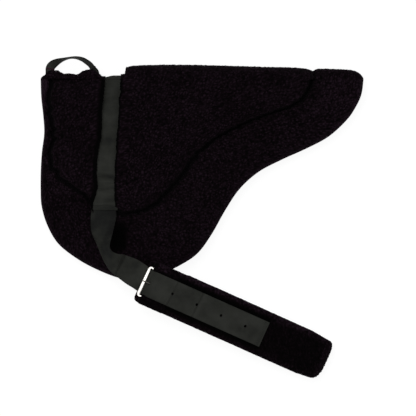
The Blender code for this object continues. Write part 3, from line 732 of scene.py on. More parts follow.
def makeSide(half, side):
    body = f"{half}_side"
    rings, rise = skirtRings()
    mask = np.clip(rise * 3, 0, 1)
    rings = panelForm("skirt", rings, rise, pad["base"] + pad["skirtRise"])
    x, y = rings[..., 0], rings[..., 1]
    count = rings.shape[1]
    seamSide = np.arange(count) < count // 3
    # painted sheen at the outline, painted light towards the tail, lighter at the front of the spine, and
    # painted shade in the seam
    paintedLight = 1 + skirt["outlineShade"] * (1 - rise) + skirt["tailShade"] * rising(x, 0.08, 0.2)
    front = skirt["frontShade"] * rising(-x, 0.2905, 0.006) * rising(y, 0.2, 0.04)
    shade = np.where(seamSide, seamShade(rise), paintedLight)
    # painted shadow in the hollow under the lifted strap
    shade = (1 - skirt["hollowShade"] * inHollow(rings)) * shade + front
    placed = onSide(rings, side)
    fleeceCover(f"{half}SkirtFleece", placed, mask, shade, body, [f"{half}_skirt_panel"], (0, -1))
    # the sections at the spine, for the folds
    ends = {}
    for name, row in (("tail", -1), ("withers", 0)):
        keep = mask[row] > 0
        ends[name] = (rings[row][keep], mask[row][keep])

    shift = np.array([halfWeb + panel["channelGap"], 0, 0])
    further = channelLine[-1:] - [0, panel["pastWebbing"], 0]
    frontSide, seatSide = (np.vstack([channelLine, further]) + sign * shift for sign in (-1, 1))
    for name, left, right, channelSide, fill, dark in (
        ("front", frontSeam, frontSide, 1, 0.6, 0.0065),
        ("seat", seatSide, seatSeam, -1, 0.7, 0.0025),
    ):
        rings, rise = panelRings(left, right, panel[f"{name}Lip"], channelSide)
        mask = np.clip(rise * 3, 0, 1)
        rings = panelForm(name, rings, rise, pad["middleZ"] + panel["crown"])
        rings[..., 2] = np.minimum(rings[..., 2], pad["middleZ"] + (panel["crown"] if side > 0 else 0))
        # painted shade under the bulge over the webbing, at its edge and in the seam
        count = rings.shape[1]
        onChannel = (np.arange(count) >= (count - 3) // 2) == (channelSide > 0)
        x = rings[..., 0] * channelSide
        edge = rising(x.max(axis=1, keepdims=True) - x, dark, 0.003)
        shade = np.where(onChannel, 0.08 + 0.92 * rising(rise, 0.85, 0.07) * edge, seamShade(rise))
        stands = [f"{half}_{name}_panel", f"{half}_{name}_foam"]
        pieceName = f"{half}{name.capitalize()}Fleece"
        fleeceCover(pieceName, onSide(rings, side), mask, shade, body, stands, (0,))
        keep = mask[0] > 0
        ends[name] = (rings[0][keep], mask[0][keep])
    return ends


ends = makeSide("off", -1)
makeSide("near", 1)
print("fleece panels made")

spineReach = {
    # how far each fold reaches past the spine, along X
    "seat": [
        (-0.1545, 0.004), (-0.151, 0.0052), (-0.1482, 0.0072), (-0.1468, 0.017), (-0.1455, 0.0232),
        (-0.1435, 0.0252), (-0.139, 0.0268), (-0.115, 0.0285), (-0.07, 0.0294), (-0.023, 0.0292),
        (0.0225, 0.0283), (0.068, 0.0268), (0.1145, 0.0252), (0.16, 0.0243), (0.18, 0.0237),
        (0.199, 0.0218), (0.207, 0.0195), (0.213, 0.0165),
    ],
    "front": [
        (-0.3085, 0.0005), (-0.3062, 0.0032), (-0.303, 0.0068), (-0.2995, 0.0145), (-0.296, 0.0178),
        (-0.29, 0.0185), (-0.2832, 0.0188), (-0.2765, 0.0185), (-0.271, 0.0148), (-0.265, 0.0118),
        (-0.2574, 0.013), (-0.2497, 0.012), (-0.242, 0.0105), (-0.2382, 0.0112), (-0.2343, 0.0145),
        (-0.2305, 0.0172), (-0.2267, 0.0182), (-0.2228, 0.0194), (-0.2152, 0.0203), (-0.2095, 0.0198),
        (-0.204, 0.018), (-0.1998, 0.0142), (-0.196, 0.0092), (-0.1922, 0.004), (-0.1883, 0.001),
    ],
    "tail": [
        (0.211, 0.0165), (0.216, 0.0195), (0.2195, 0.0212), (0.2295, 0.0218), (0.2525, 0.0214),
        (0.2755, 0.0203), (0.287, 0.019), (0.2955, 0.0168), (0.3015, 0.0132), (0.3062, 0.0085),
        (0.309, 0.003),
    ],
}  # fmt: skip
spineSteps = pointsOver(math.pi * pad["middleZ"])
frontSection = [np.concatenate([ends["withers"][k][::-1], ends["front"][k]]) for k in (0, 1)]
for name, section, mask, grow in (
    ("seat", *ends["seat"], (0, 0.0035)),
    ("front", frontSection[0], np.maximum(frontSection[1], 0.6), (0, 0)),
    ("tail", *ends["tail"], (0.0035, 0)),
):
    obj = revolve(section, f"{name}SpineFleece", spineSteps, spineReach[name], mask, grow)
    overSpine(obj, fleeceCloth, [f"{name}_spine_roll"])


def ribbon(name, left, right, thick=web["thick"], columns=13, lift=None, depth=None):
    # webbing between two edge lines: across runs the section, whose edges are rounded and thinner. Lift and
    # depth get the share across and the length along. Each point gets painted shade as it lies low in a
    # crease and painted light as it stands high on a ridge, and depth adds painted shade or light.
    centre = (left + right) / 2
    normal = unit(np.cross(right - left, np.gradient(centre, axis=0)))
    share = np.linspace(-1, 1, columns)
    share = 0.35 * np.sin(share * math.pi / 2) + 0.65 * share  # closer together at the edges
    half = thick / 2 * (1 - web["edgeThinner"] * np.abs(share) ** 14)
    middle = centre[:, None] + (right - left)[:, None] / 2 * share[None, :, None]
    along = lengthAlong(centre)[:, None]
    paintedShade = np.zeros(middle.shape[:2])
    if lift is not None:
        raised = lift(share, along)
        middle = middle + normal[:, None] * raised[..., None]
        paintedShade += np.clip(-raised / web["crease"], -0.3, 1)
    if depth is not None:
        paintedShade += depth(share, along)
    faces = [middle + sign * normal[:, None] * half[None, :, None] for sign in (1, -1)]
    rings = np.concatenate([faces[0], faces[1][:, ::-1]], axis=1)
    u = np.concatenate([share, share[::-1]]) * np.linalg.norm(right - left, axis=1).mean() / 2
    paintedShade = np.concatenate([paintedShade, paintedShade[:, ::-1]], axis=1)
    return loft(name, rings, uv=together(u, along), values=paintedShade, valuesName="paintedShade")


sewn = {
    "climb": [0.0, 0.12, 0.35, 0.53, 0.64, 0.8, 1.0],
    "rows": 220,
    "slant": 0.006,
    "stripEnd": 0.6,
    "stripGap": 0.0018,
    # where down the webbing, how high, how wide and how slanted
    "wrinkles": [
        (0.06, -0.0006, 0.004, 0.8), (0.115, -0.0007, 0.005, -0.6), (0.1632, 0.0012, 0.005, 0.6),
        (0.1862, -0.003, 0.004, 0.5), (0.1965, 0.0022, 0.0034, 0.3), (0.202, -0.0008, 0.003, -0.3),
        (0.2102, -0.0014, 0.0026, -0.7), (0.2198, 0.0012, 0.004, 0.6), (0.2294, -0.0009, 0.003, 0.4),
        (0.2385, 0.001, 0.003, -0.3), (0.2478, -0.0026, 0.0032, 0.0),
    ],
}


def sewnLift(share, along):
    # puckers across the webbing: each is a bell along it, slanted across it
    total = 0
    for at, height, wide, slant in sewn["wrinkles"]:
        total = total + height * bell((along - at - slant * sewn["slant"] * share) / wide)
    return total * (1 - np.abs(share) ** 6 * 0.5)


def makeChannel(half, side):
    body = f"{half}_side"
    line = evenly(channelLine, sewn["rows"])
    climb = smoothLine([[c] for c in sewn["climb"]])[:, 0]
    climb = np.interp(np.linspace(0, 1, len(line)), np.linspace(0, 1, len(climb)), climb)
    line[:, 2] = web["startHeight"] + climb * (web["endHeight"] - web["startHeight"])
    line[0, 1] -= clear
    shift = np.array([halfWeb, 0, 0])
    edges = [onSide(line + sign * shift, side) for sign in (-1, 1)]
    piece = ribbon(f"{half}SewnWebbing", *edges, lift=sewnLift)
    finish(piece, webbing, body, [f"{half}_sewn_webbing"])
    # the fleece strip under the webbing, a box along it
    kept = line[line[:, 1] > pad["spineY"] - sewn["stripEnd"] * pad["drop"]]
    top = kept[:, 2] - web["thick"] / 2 - sewn["stripGap"]
    corners = [(-1, pad["base"]), (1, pad["base"]), (1, top), (-1, top)]
    sides = [together(kept[:, 0] + sign * halfWeb, kept[:, 1], level) for sign, level in corners]
    rings = onSide(np.stack(sides, axis=1), side)
    # its flat low value is painted shade under the webbing
    strip = loft(f"{half}ChannelFleece", rings, values=np.full(rings.shape[:2], 0.3))
    finish(strip, fleeceCloth, body, [f"{half}_channel_strip"])


makeChannel("off", -1)
makeChannel("near", 1)
middleX = channelLine[0, 0]
coreRadius = web["startHeight"] - web["thick"] / 2 - clear
section = together(np.linspace(middleX - halfWeb, middleX + halfWeb, 9), 0, coreRadius)
reach = [(middleX - halfWeb, 0.0004), (middleX - 0.1 * halfWeb, 0.0048), (middleX + halfWeb, 0.0048)]
obj = revolve(section, "channelSpineFleece", 13, reach, np.zeros(9))
overSpine(obj, fleeceCloth, ["channel_spine_roll"])

# the loop over the withers: a half turn about the spine, flatter than round
withers = {"reach": 0.0068, "slope": 0.0068}
angle = np.linspace(math.pi / 2, -math.pi / 2, 25)
loopY = pad["spineY"] + withers["reach"] * np.cos(angle)
loopZ = pad["middleZ"] + web["startHeight"] * np.sin(angle)
loopEdges = [together(middleX + sign * halfWeb, loopY, loopZ) for sign in (-1, 1)]


def loopLift(share, along):
    # over the spine the webbing slopes down to the front, from a tenth of its half width on: the squared
    # sine of the half turn times the share across it
    turned = np.sin(math.pi * along / along[-1]) ** 2
    return -withers["slope"] * turned * np.clip(-share - 0.1, 0, 1)


overSpine(ribbon("withersWebbing", *loopEdges, lift=loopLift), webbing, ["withers_webbing_loop"])
print("spine and channel made")


lining = {
    "points": 260,
    "spinePoints": 60,
    "inset": 0.004,  # how much it is smaller than the outline, as a share
    # height over the middle plane, and how much the edge is drawn in there
    "levels": ((0.0004, 0.0048), (0.0016, 0), (0.003, 0), (0.0042, 0.0048)),
    "fromSpine": 0.00005,
}


def makeLining(half, side):
    # a flat sheet of backing, cut to the outline and a little inside it
    outline = evenly(outlineLine, lining["points"])[:, :2]
    spineRow = np.linspace(outline[-1], outline[0], lining["spinePoints"])[1:-1]
    loop = np.vstack([outline, spineRow])
    atSpine = loop[:, 1] > pad["spineY"] - 0.0005
    loop = loop + (loop.mean(axis=0) - loop) * lining["inset"]
    inwards = loop.mean(axis=0) - loop
    rings = np.stack([together(*(loop + inwards * drawn).T, level) for level, drawn in lining["levels"]])
    rings[:, atSpine, 1] = pad["spineY"] - lining["fromSpine"]
    obj = loft(f"{half}Lining", onSide(rings, side))
    finish(obj, liningCloth, f"{half}_side", [f"{half}_lining"])


makeLining("off", -1)
makeLining("near", 1)

handle = {
    "width": 0.0172,
    "thick": 0.0022,
    "line": [
        (0.0267, -0.0367), (0.0274, -0.0575), (0.0352, -0.0747), (0.0518, -0.0912), (0.0712, -0.1026),
        (0.0898, -0.1092), (0.1084, -0.1095), (0.127, -0.1015), (0.1394, -0.0897), (0.1518, -0.0742),
        (0.1605, -0.0535), (0.1662, -0.034),
    ],
    "feet": (0.0265, 0.1665),
    "footGap": 0.0036,
    "turns": [0, 0, 5, 25, 55, 78, 85, 78, 66, 60, 57, 48, 20, 0],
}  # fmt: skip


def makeHandle():
    # a loop of narrow webbing, flat at its feet and turned on edge over its top
    feet = spot([(share, 0) for share in handle["feet"]])
    feet[:, 1] += handle["footGap"]
    line = onSide(smoothLine(np.vstack([feet[:1], spot(handle["line"]), feet[1:]]), 10), 1)
    turn = np.radians(smoothLine([[t] for t in handle["turns"]], 10))
    along = unit(np.gradient(line, axis=0))
    up = np.array([0, 0, 1.0])
    wide = np.cos(turn) * np.cross(up, along) + np.sin(turn) * up
    edges = [line + sign * handle["width"] / 2 * wide for sign in (1, -1)]

    # painted shade along the handle's edges
    def paintedEdgeShade(share, along):
        return 0.55 * np.abs(share) ** 5

    piece = ribbon("grabHandle", *edges, handle["thick"], depth=paintedEdgeShade)
    finish(piece, webbing, "handle", ["grab_handle"])
    return line, along, wide


handleLine, handleAlong, handleWide = makeHandle()
print("handle made")

girth = {
    "width": 0.087,
    "fleece": 0.0076,
    "runNear": 0.3456,
    "runOff": 0.273,
    "shift": 0.0002,
    "flap": 0.027,
    "pastRoller": 0.252,  # the strap's length from the roller to its end
    "chape": 0.022,
    "chapeGap": 0.004,
    "heading": math.radians(-24.24),
    "tilt": math.radians(4.79),
    "bar": (0.351, 1.0275),
    "foldWidth": 0.93,
    "section": [
        (-0.45, 0), (0.45, 0), (0.49, 0.25), (0.5, 0.55), (0.47, 0.88), (0.36, 1),
        (-0.36, 1), (-0.47, 0.88), (-0.5, 0.55), (-0.49, 0.25),
    ],
}  # fmt: skip
foldHeight = 2 * girth["fleece"] + web["thick"] + 3 * clear
coreHeight = girth["fleece"] + 2 * clear + web["thick"] / 2
wire = {
    "radius": 0.002,
    "roller": 0.003,
    "depth": 0.023,
    "play": 0.0015,
    "corner": 0.003,
    "tongue": 0.0014,
    "gap": 0.0004,
    "overhang": 0.0025,
}
barHeight = girth["fleece"] + 3 * clear + wire["radius"] + 2 * wire["tongue"]
strapEnd = -girth["runNear"] - wire["depth"] + girth["pastRoller"]
heading = np.array([math.cos(girth["heading"]), math.sin(girth["heading"])])
foldSpot = (*(spot(girth["bar"])[:2] + girth["runNear"] * heading), foldHeight)
turned = Matrix.Translation(foldSpot) @ Matrix.Rotation(girth["heading"], 4, "Z")
upper = turned @ Matrix.Rotation(girth["tilt"], 4, "Y")
lower = turned @ Matrix.Rotation(math.pi, 4, "X")


strip = {
    "endRun": 0.13 * girth["width"],  # the free end is rounded over this length
    "endWidth": 0.84,
    "narrowing": 0.03,  # length of it, before the fold
    "groove": 0.28,  # how deep, as a share of the height
    "grooveWidth": 0.003,
    # the band that the strap presses, which also gets painted shade: how far from the middle, how wide and
    # how deep
    "band": 0.0275,
    "bandWidth": 0.0045,
    "bandDepth": 0.0016,
    "sides": 0.034,  # from here out the pile is flatter
    "sidesFlatter": 0.65,
}


def girthStrip(name, matrix, start, level, outside, shift, body, stands):
    # a length of fleece up to the fold: the section is carried along the girth, narrower and thinner at its
    # free end. The outer one has a groove along its middle, and the strap presses the pile beside it, which
    # gets painted shade there.
    section = np.array(girth["section"])
    count = pointsOver(2.2 * girth["width"])
    across, height = evenly(np.vstack([section, section[:1]]), count + 1)[:-1].T
    end = -clear
    a = np.linspace(start, end, pointsOver(end - start))[:, None]
    full = roundedEnd(a - start, strip["endRun"])
    narrower = (girth["foldWidth"] - 1) * rising(a, end - strip["narrowing"], strip["narrowing"])
    wide = (strip["endWidth"] + (1 - strip["endWidth"]) * full) * (1 + narrower)
    groove = bell(across * girth["width"] / strip["grooveWidth"]) * (height > 0.5)
    height = height - strip["groove"] * outside * groove
    b = shift + wide * across * girth["width"]
    c = height * (0.5 + 0.5 * full) * girth["fleece"]
    if not outside:
        c = girth["fleece"] - c
    aside = np.abs(across) * girth["width"]
    band = bell((aside - strip["band"]) / strip["bandWidth"])
    pressedAndShaded = outside * band * (1 - rising(a, strapEnd - 0.002, 0.004))
    # painted shade in the middle and in the pressed band, and painted light on the sides, the right one most
    shade = (1 - 0.9 * pressedAndShaded) * (0.6 + rising(aside, 0.029, 0.013) * (0.45 + 0.4 * (across > 0)))
    rings = through(matrix, together(a, b, level + c - strip["bandDepth"] * pressedAndShaded))
    mask = np.clip(height * 3, 0, 1) * (1 - strip["sidesFlatter"] * rising(aside, strip["sides"], 0.006))
    fleeceCover(name, rings, mask, shade, body, stands)


cutDepth = 0.02  # through any webbing


def cutOut(obj, matrix, size, radius=None):
    # takes a box of this size, or a round hole of this depth, out of the mesh
    if radius:
        bpy.ops.mesh.primitive_cylinder_add(vertices=20, radius=radius, depth=size)
    else:
        bpy.ops.mesh.primitive_cube_add(size=1)
        bpy.context.object.scale = size
    tool = bpy.context.object
    bpy.ops.object.transform_apply(scale=True)
    tool.matrix_world = matrix
    boolean = obj.modifiers.new("cut", "BOOLEAN")
    boolean.operation = "DIFFERENCE"
    boolean.solver = "EXACT"
    boolean.object = tool
    bpy.context.view_layer.update()
    cutMesh = bpy.data.meshes.new_from_object(obj.evaluated_get(bpy.context.evaluated_depsgraph_get()))
    obj.modifiers.clear()
    obj.data = cutMesh
    bpy.data.objects.remove(tool)


def girthHalf(half, matrix, run, shift, body):
    bar = -run
    start = bar + girth["chape"] + girth["chapeGap"]
    flapEnd, level = bar - girth["flap"], coreHeight + web["thick"] / 2 + clear
    girthStrip(f"{half}GirthLining", matrix, flapEnd, clear, False, shift, body, [f"{half}_girth_lining"])
    girthStrip(f"{half}GirthFleece", matrix, start, level, True, shift, body, [f"{half}_girth_fleece"])
    # the core of webbing turns round the buckle's bar and back
    bend = wire["radius"] + clear + web["thick"] / 2
    line = [(a, coreHeight) for a in (-clear, bar / 2, start, bar + girth["chape"] / 2)]
    line += [(bar - bend * math.sin(t), barHeight - bend * math.cos(t)) for t in np.linspace(0, math.pi, 13)]
    line += [(bar + girth["chape"] * s, barHeight + bend * r) for s, r in ((0.3, 0.95), (0.65, 0.3))]
    line.append((bar + girth["chape"], coreHeight + web["thick"] + clear))
    edges = [through(matrix, [(a, b, c) for a, c in line]) for b in (-halfWeb, halfWeb)]
    obj = ribbon(f"{half}GirthWebbing", *edges)
    # slot for the tongue, with 2 mm of room all round
    width = 2 * (wire["tongue"] + 0.002)
    length = 2 * (wire["radius"] + 2 * wire["tongue"] + clear + 0.002)
    cutOut(obj, matrix @ Matrix.Translation((bar, 0, barHeight)), (length, width, cutDepth))
    finish(obj, webbing, body, [f"{half}_girth_webbing"])


girthHalves = (
    ("near", upper, girth["runNear"], girth["shift"], "near_strap"),
    ("off", lower, girth["runOff"], -girth["shift"], "girth_lower"),
)
for each in girthHalves:
    girthHalf(*each)


# across the girth, then how high it is at the fold's start and how far it reaches at its end
foldShares = [
    (-0.5, 0.74, 0.1), (-0.46, 0.95, 0.5), (-0.38, 1, 0.76), (-0.22, 1, 0.96), (0.1, 1, 1),
    (0.34, 1, 0.92), (0.46, 0.95, 0.72), (0.5, 0.74, 0.35),
]  # fmt: skip


def makeGirthFold():
    # the girth's turn: a half turn of the section, whose reach makes the rounded end
    flatter = [1, 0.3, 0.3]
    shares = smoothLine(foldShares, 12) * flatter
    b, height, reach = (evenly(shares, pointsOver(girth["width"])) / flatter).T
    steps = pointsOver(math.pi * foldHeight)
    angle = np.linspace(-math.pi / 2, math.pi / 2 - girth["tilt"], steps)[:, None]
    r = foldHeight * (height + (reach - height) * np.cos(angle))
    r = np.pad(r, ((0, 0), (1, 1)), constant_values=clear)
    b = np.pad(girth["shift"] + b * girth["width"] * girth["foldWidth"], 1, mode="edge")
    rings = through(turned, together(r * np.cos(angle), b, r * np.sin(angle)))
    placed, values = withPile(rings, np.pad(np.ones(len(b) - 2), 1))
    obj = loft("girthFoldFleece", placed, values=values)
    finish(obj, fleeceCloth, None, ["girth_fold_roll"])
    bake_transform(obj)


makeGirthFold()
print("girth made")

billet = {
    # both edges down the pad, as shares, and how high each lies there, in widths of the webbing
    "left": [
        (0.1575, 0.6558), (0.1548, 0.69), (0.1568, 0.76), (0.174, 0.825),
        (0.195, 0.905), (0.213, 0.952), (0.2262, 0.973), (0.2345, 0.984),
    ],
    "right": [
        (0.2335, 0.6558), (0.234, 0.69), (0.2262, 0.755), (0.216, 0.825),
        (0.2215, 0.855), (0.2385, 0.8705), (0.2545, 0.8745), (0.266, 0.88),
    ],
    "rightLift": [0.0, 0.06, 0.28, 0.55, 0.56, 0.5, 0.4, 0.1],
    "leftLift": [0.0, 0.0, 0.0, 0.0, 0.0, 0.04, 0.1, 0.04],
    "run": [  # buckle depths from the bar, height, and how far it runs to the side
        (-2.25, -0.45, 0.0063), (-1.65, -0.12, 0.0046), (-1.3, 0, 0.0032), (-1, 0, 0.0016),
        (-0.7, 0.13, 0.0006), (-0.52, 0.36, 0), (-0.35, 0.68, 0), (-0.17, 0.93, 0), (0, 1, 0),
        (0.25, 1, 0), (0.9, 1, 0), (1.5, 1, 0),
    ],
    "crease": 0.048,
    "holePitch": 0.0508,
    "holeRadius": 0.0025,
    "firstHole": 0.0145,  # before the bar
    # hole, height, how wide
    "dents": [
        (0.985, -0.0022, 0.0013), (2.02, -0.002, 0.0013), (0.93, 0.0009, 0.005), (2.08, 0.0007, 0.005),
    ],
    # painted shade on the free length, as the pad's shadow, and painted light past it where negative: how far
    # along and how dark
    "shade": [
        (0, 1.2), (0.005, 1.15), (0.01, 0.9), (0.02, 0.72), (0.06, 0.68), (0.085, 0.4),
        (0.095, 0.55), (0.105, 0.3), (0.118, 0.0), (0.17, 0.0), (0.22, -0.14),
    ],
    "tongueHole": 0.0127,  # how deep it is cut
    "tongueTilt": math.radians(1.5),
}  # fmt: skip
rollerLift = {"near": 0.0015, "off": -0.002}
over = foldHeight + 2 * clear + web["thick"] / 2


def tongueLine(half):
    # from the tongue's eye to where it rests on the roller: distance before the bar, height over the bar
    lift = rollerLift[half]
    loop = wire["radius"] + clear + wire["tongue"]
    last = math.radians(325)
    root = (loop * math.cos(last) + wire["tongue"], loop * math.sin(last) + wire["tongue"])
    rest = (math.sqrt(wire["depth"] ** 2 - lift**2), lift + wire["roller"] + clear + wire["tongue"])
    return root, rest


def makeBillet():
    # one length of webbing: free from the pad, under the roller, over the bar and flat along the girth
    bar = -girth["runNear"]
    under = barHeight + rollerLift["near"] - wire["roller"] - clear - web["thick"] / 2
    run = [(bar + s * wire["depth"], shift, under + r * (over - under)) for s, r, shift in billet["run"]]
    run += [(a, 0, over) for a in np.linspace(bar + billet["crease"], strapEnd, 14)]
    rest = pad["base"] + pad["skirtRise"] + clear + web["thick"] / 2
    edges = []
    for name, b in (("left", -halfWeb), ("right", halfWeb)):
        height = rest + np.array(billet[name + "Lift"]) * web["width"]
        height[0] = web["endHeight"]
        free = onSide(spot(billet[name], height), 1)
        buckled = through(upper, [(a, b + shift, c) for a, shift, c in run])
        edges.append(smoothLine(np.vstack([free, buckled]), 12))
    centre = (edges[0] + edges[1]) / 2
    fromBar = np.linalg.norm(centre - through(upper, (bar, 0, over)), axis=1)
    atBar = lengthAlong(centre)[np.argmin(fromBar)]

    def dents(share, along):
        total = 0
        for hole, height, wide in billet["dents"]:
            at = atBar - billet["firstHole"] + hole * billet["holePitch"] + 0.0012 * share
            total = total + height * bell((along - at) / wide)
        return total

    # painted shade along the free length, a little darker towards the right edge
    def depth(share, along):
        return profile(along, billet["shade"]) * (1 + 0.25 * share)

    obj = ribbon("girthStrap", *edges, columns=17, lift=dents, depth=depth)
    (d0, c0), (d1, c1) = tongueLine("near")
    slope = math.atan2(c1 - c0, d1 - d0)
    place = Matrix.Translation((bar - (d0 + d1) / 2, 0, barHeight + (c0 + c1) / 2))
    turn = Matrix.Rotation(slope - math.pi / 2 + billet["tongueTilt"], 4, "Y")
    cutOut(obj, upper @ place @ turn, billet["tongueHole"], billet["holeRadius"])
    for k in range(1, 5):
        at = bar - billet["firstHole"] + k * billet["holePitch"]
        cutOut(obj, upper @ Matrix.Translation((at, 0, over)), cutDepth, billet["holeRadius"])
    finish(obj, webbing, None, ["near_billet", "near_billet_tip"])
    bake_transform(obj)


makeBillet()
print("strap made")


def tube(name, path, normal, radius, closed=False, around=14):
    # circles on a flat path: one axis is the path's normal and the other is square to it and to the path
    side = np.cross(normal, unit(stepsAlong(path, closed)))
    angle = fullTurn(around)[None, :, None]
    size = np.broadcast_to(radius, len(path))[:, None, None]
    return loft(name, path[:, None] + size * (np.cos(angle) * normal + np.sin(angle) * side[:, None]), closed)


stitching = {
    "length": 0.0024,
    "radius": 0.00035,
    "lift": 0.0001,  # over the webbing
    "tackLength": 0.0032,
    "tackRadius": 0.0005,
}


def makeStitches(name, ends, up, material, body, radius=stitching["radius"]):
    # every stitch is a six-sided thread that rises in a low arch from its two ends
    count = len(ends)
    share = np.array([0, 0.12, 0.5, 0.88, 1])
    arch = np.array([-0.5, 0.6, 1, 0.6, -0.5]) * radius
    size = np.array([0.35, 0.9, 1, 0.9, 0.35]) * radius
    up = unit(up)
    along = ends[:, 1] - ends[:, 0]
    side = unit(np.cross(up, along))
    middle = ends[:, None, 0] + along[:, None] * share[None, :, None] + up * arch[None, :, None]
    angle = fullTurn(6)[None, None, :, None]
    ring = side[:, None, None] * np.cos(angle) + up * np.sin(angle)
    points = middle[:, :, None] + ring * size[None, :, None, None]
    index = np.arange(count * 30).reshape(count, 5, 6)
    turned = np.roll(index, -1, axis=2)
    quads = np.stack([index[:, :-1], turned[:, :-1], turned[:, 1:], index[:, 1:]], axis=-1)
    faces = quads.reshape(-1, 4)[:, ::-1].tolist() + index[:, 0].tolist() + index[:, -1, ::-1].tolist()
    mesh = bpy.data.meshes.new(name)
    mesh.from_pydata(points.reshape(-1, 3).tolist(), [], faces)
    mesh.polygons.foreach_set("use_smooth", np.ones(len(mesh.polygons), bool))
    finish(addObject(name, mesh), material, body)


def makeRows(name, matrix, places, level, body, count=14, halfRow=0.022):
    # rows of stitches square across the webbing, at these places along it
    b = np.linspace(-halfRow, halfRow, count)[:, None] + np.array([-0.5, 0.5]) * stitching["length"]
    a = np.array(places)[:, None, None]
    ends = together(a, b, level + stitching["lift"]).reshape(-1, 2, 3)
    makeStitches(name, through(matrix, ends), directionIn(matrix, (0, 0, 1)), darkThread, body)


# two rows each across the end of the sewn webbing, the strap's end and the end of each chape
for half, side in (("near", 1), ("off", -1)):
    x, y = channelLine[-1, :2]
    matrix = [[0, 1, 0, x], [1, 0, 0, y], [0, 0, side, pad["middleZ"]], [0, 0, 0, 1]]
    level = web["endHeight"] + web["thick"] / 2
    makeRows(f"{half}SeamStitches", matrix, (0.0065, 0.0092), level, f"{half}_side", 13, 0.0215)
makeRows("tipStitches", upper, (strapEnd - 0.004, strapEnd - 0.0075), over + web["thick"] / 2, "strap_tip")
for half, matrix, run, _, body in girthHalves:
    chapeEnd = girth["chape"] - run
    level = coreHeight + 1.5 * web["thick"] + clear
    makeRows(f"{half}ChapeStitches", matrix, (chapeEnd - 0.0025, chapeEnd - 0.0055), level, body)

# bar tacks: on each leg of the handle, at one point of its line, a close row of stitches on both faces
for name, at, thread in (("Front", 18, redThread), ("Rear", 109, darkThread)):
    along, wide = handleAlong[at], handleWide[at]
    offsets = np.linspace(-1, 1, 14)[:, None] * (handle["width"] / 2 - 0.001) * wide
    for face, sign in (("Upper", 1), ("Lower", -1)):
        up = sign * np.cross(wide, along)
        middle = handleLine[at] + offsets + up * (handle["thick"] / 2 + stitching["lift"])
        tacks = middle[:, None] + np.array([-0.5, 0.5])[:, None] * stitching["tackLength"] * along
        makeStitches(f"handleBartack{name}{face}", tacks, up, thread, "handle", stitching["tackRadius"])


def makeBuckle(half, matrix, run, frameBody, rollerBody, tongueBody):
    # a wire frame, a roller tube on its front bar, and a tongue looped round its back bar
    bar = -run
    root, (reach, restC) = tongueLine(half)
    lift = rollerLift[half]
    side = halfWeb + wire["play"] + wire["radius"]
    corner = wire["corner"]
    points = []
    for d, b, first in ((0, 1, 0), (1, 1, 90), (1, -1, 180), (0, -1, 270)):
        for angle in np.radians(np.linspace(first, first + 90, 8)):
            away = d + corner * (1 - 2 * d - math.cos(angle)) / wire["depth"]
            y = b * (side - corner) + corner * math.sin(angle)
            points.append((bar - away * reach, y, barHeight + away * lift))
    up, across = directionIn(matrix, (0, 0, 1)), directionIn(matrix, (0, 1, 0))
    frame = tube(f"{half}BuckleFrame", through(matrix, points), up, wire["radius"], True)
    finish(frame, nickel, frameBody, [f"{half}_buckle_frame"])

    length = side - corner - wire["gap"]
    inner, outer, edge = wire["radius"] + clear, wire["roller"], 0.0003
    b, r = np.array([
        (-length, inner + edge), (-length, outer - edge), (-length + edge, outer), (0, outer + 0.00005),
        (length - edge, outer), (length, outer - edge), (length, inner + edge), (length - edge, inner),
        (-length + edge, inner),
    ]).T  # fmt: skip
    angle = fullTurn(32)[:, None]
    rings = together(bar - reach + r * np.cos(angle), b, barHeight + lift + r * np.sin(angle))
    rings = through(matrix, rings)
    finish(loft(f"{half}Roller", rings, closed=True), nickel, rollerBody, [f"{half}_roller"])

    loop = wire["radius"] + clear + wire["tongue"]
    turns = np.radians(np.linspace(50, 325, 26))
    eye = together(loop * np.cos(turns), loop * np.sin(turns))
    tip = [(reach + wire["overhang"] * share, restC) for share in (0.5, 0.85, 1)]
    line = np.vstack([eye, np.linspace(root, (reach, restC), 12), tip])
    radius = np.full(len(line), wire["tongue"])
    radius[[0, -2, -1]] *= [0.7, 0.8, 0.35]
    points = through(matrix, together(bar - line[:, 0], 0, barHeight + line[:, 1]))
    tongue = tube(f"{half}Tongue", points, across, radius)
    finish(tongue, shadedNickel, tongueBody, [f"{half}_tongue"])


makeBuckle("near", upper, girth["runNear"], "near_strap", "near_roller_tube", "near_tongue_wire")
makeBuckle("off", lower, girth["runOff"], "off_buckle", "off_roller_tube", "off_tongue_wire")
print("buckles made")

cuff = {
    "middle": 0.0347,
    "halfWidth": 0.0118,
    "halfHeight": 0.0105,
    "level": 0.0113,
    "start": -0.0185,
    "end": 0.036,
    "around": 0.052,
    "endRun": 0.008,
    "blunt": 0.0006,  # the ends are cut off so far from their point
}


def makeCuffs():
    # beside the buckle the girth's fleece runs on in two rounded lobes: ellipses along the girth
    rows = pointsOver(cuff["end"] - cuff["start"])
    a = np.linspace(cuff["start"], cuff["end"], rows)[:, None]
    full = roundedEnd(np.minimum(a - cuff["start"], cuff["end"] - a) + cuff["blunt"], cuff["endRun"])
    angle = fullTurn(pointsOver(cuff["around"]))
    side = girth["width"] / 2 + 0.0002
    for name, sign in (("Outer", 1), ("Inner", -1)):
        b = np.clip(sign * cuff["middle"] + cuff["halfWidth"] * full * np.cos(angle), -side, side)
        top = np.where(np.abs(b) < halfWeb + 0.001, over - web["thick"], 1)
        c = np.clip(cuff["level"] + cuff["halfHeight"] * full * np.sin(angle), girth["fleece"] * 0.5, top)
        rings = through(upper, together(a - girth["runNear"], b, c))
        # painted shade on both, and painted light on the outer one by the bar, clear of the strap
        shade = 0.65 + 0.75 * bell((a - 0.002) / 0.012, 4) * rising(b, 0.0295, 0.003)
        fleeceCover(f"nearCuff{name}", rings, 0.35, shade, "near_strap", [])


makeCuffs()

offStrap = {"fold": (0.1965, 0.89), "turn": math.radians(35), "length": 0.431, "holes": 5}


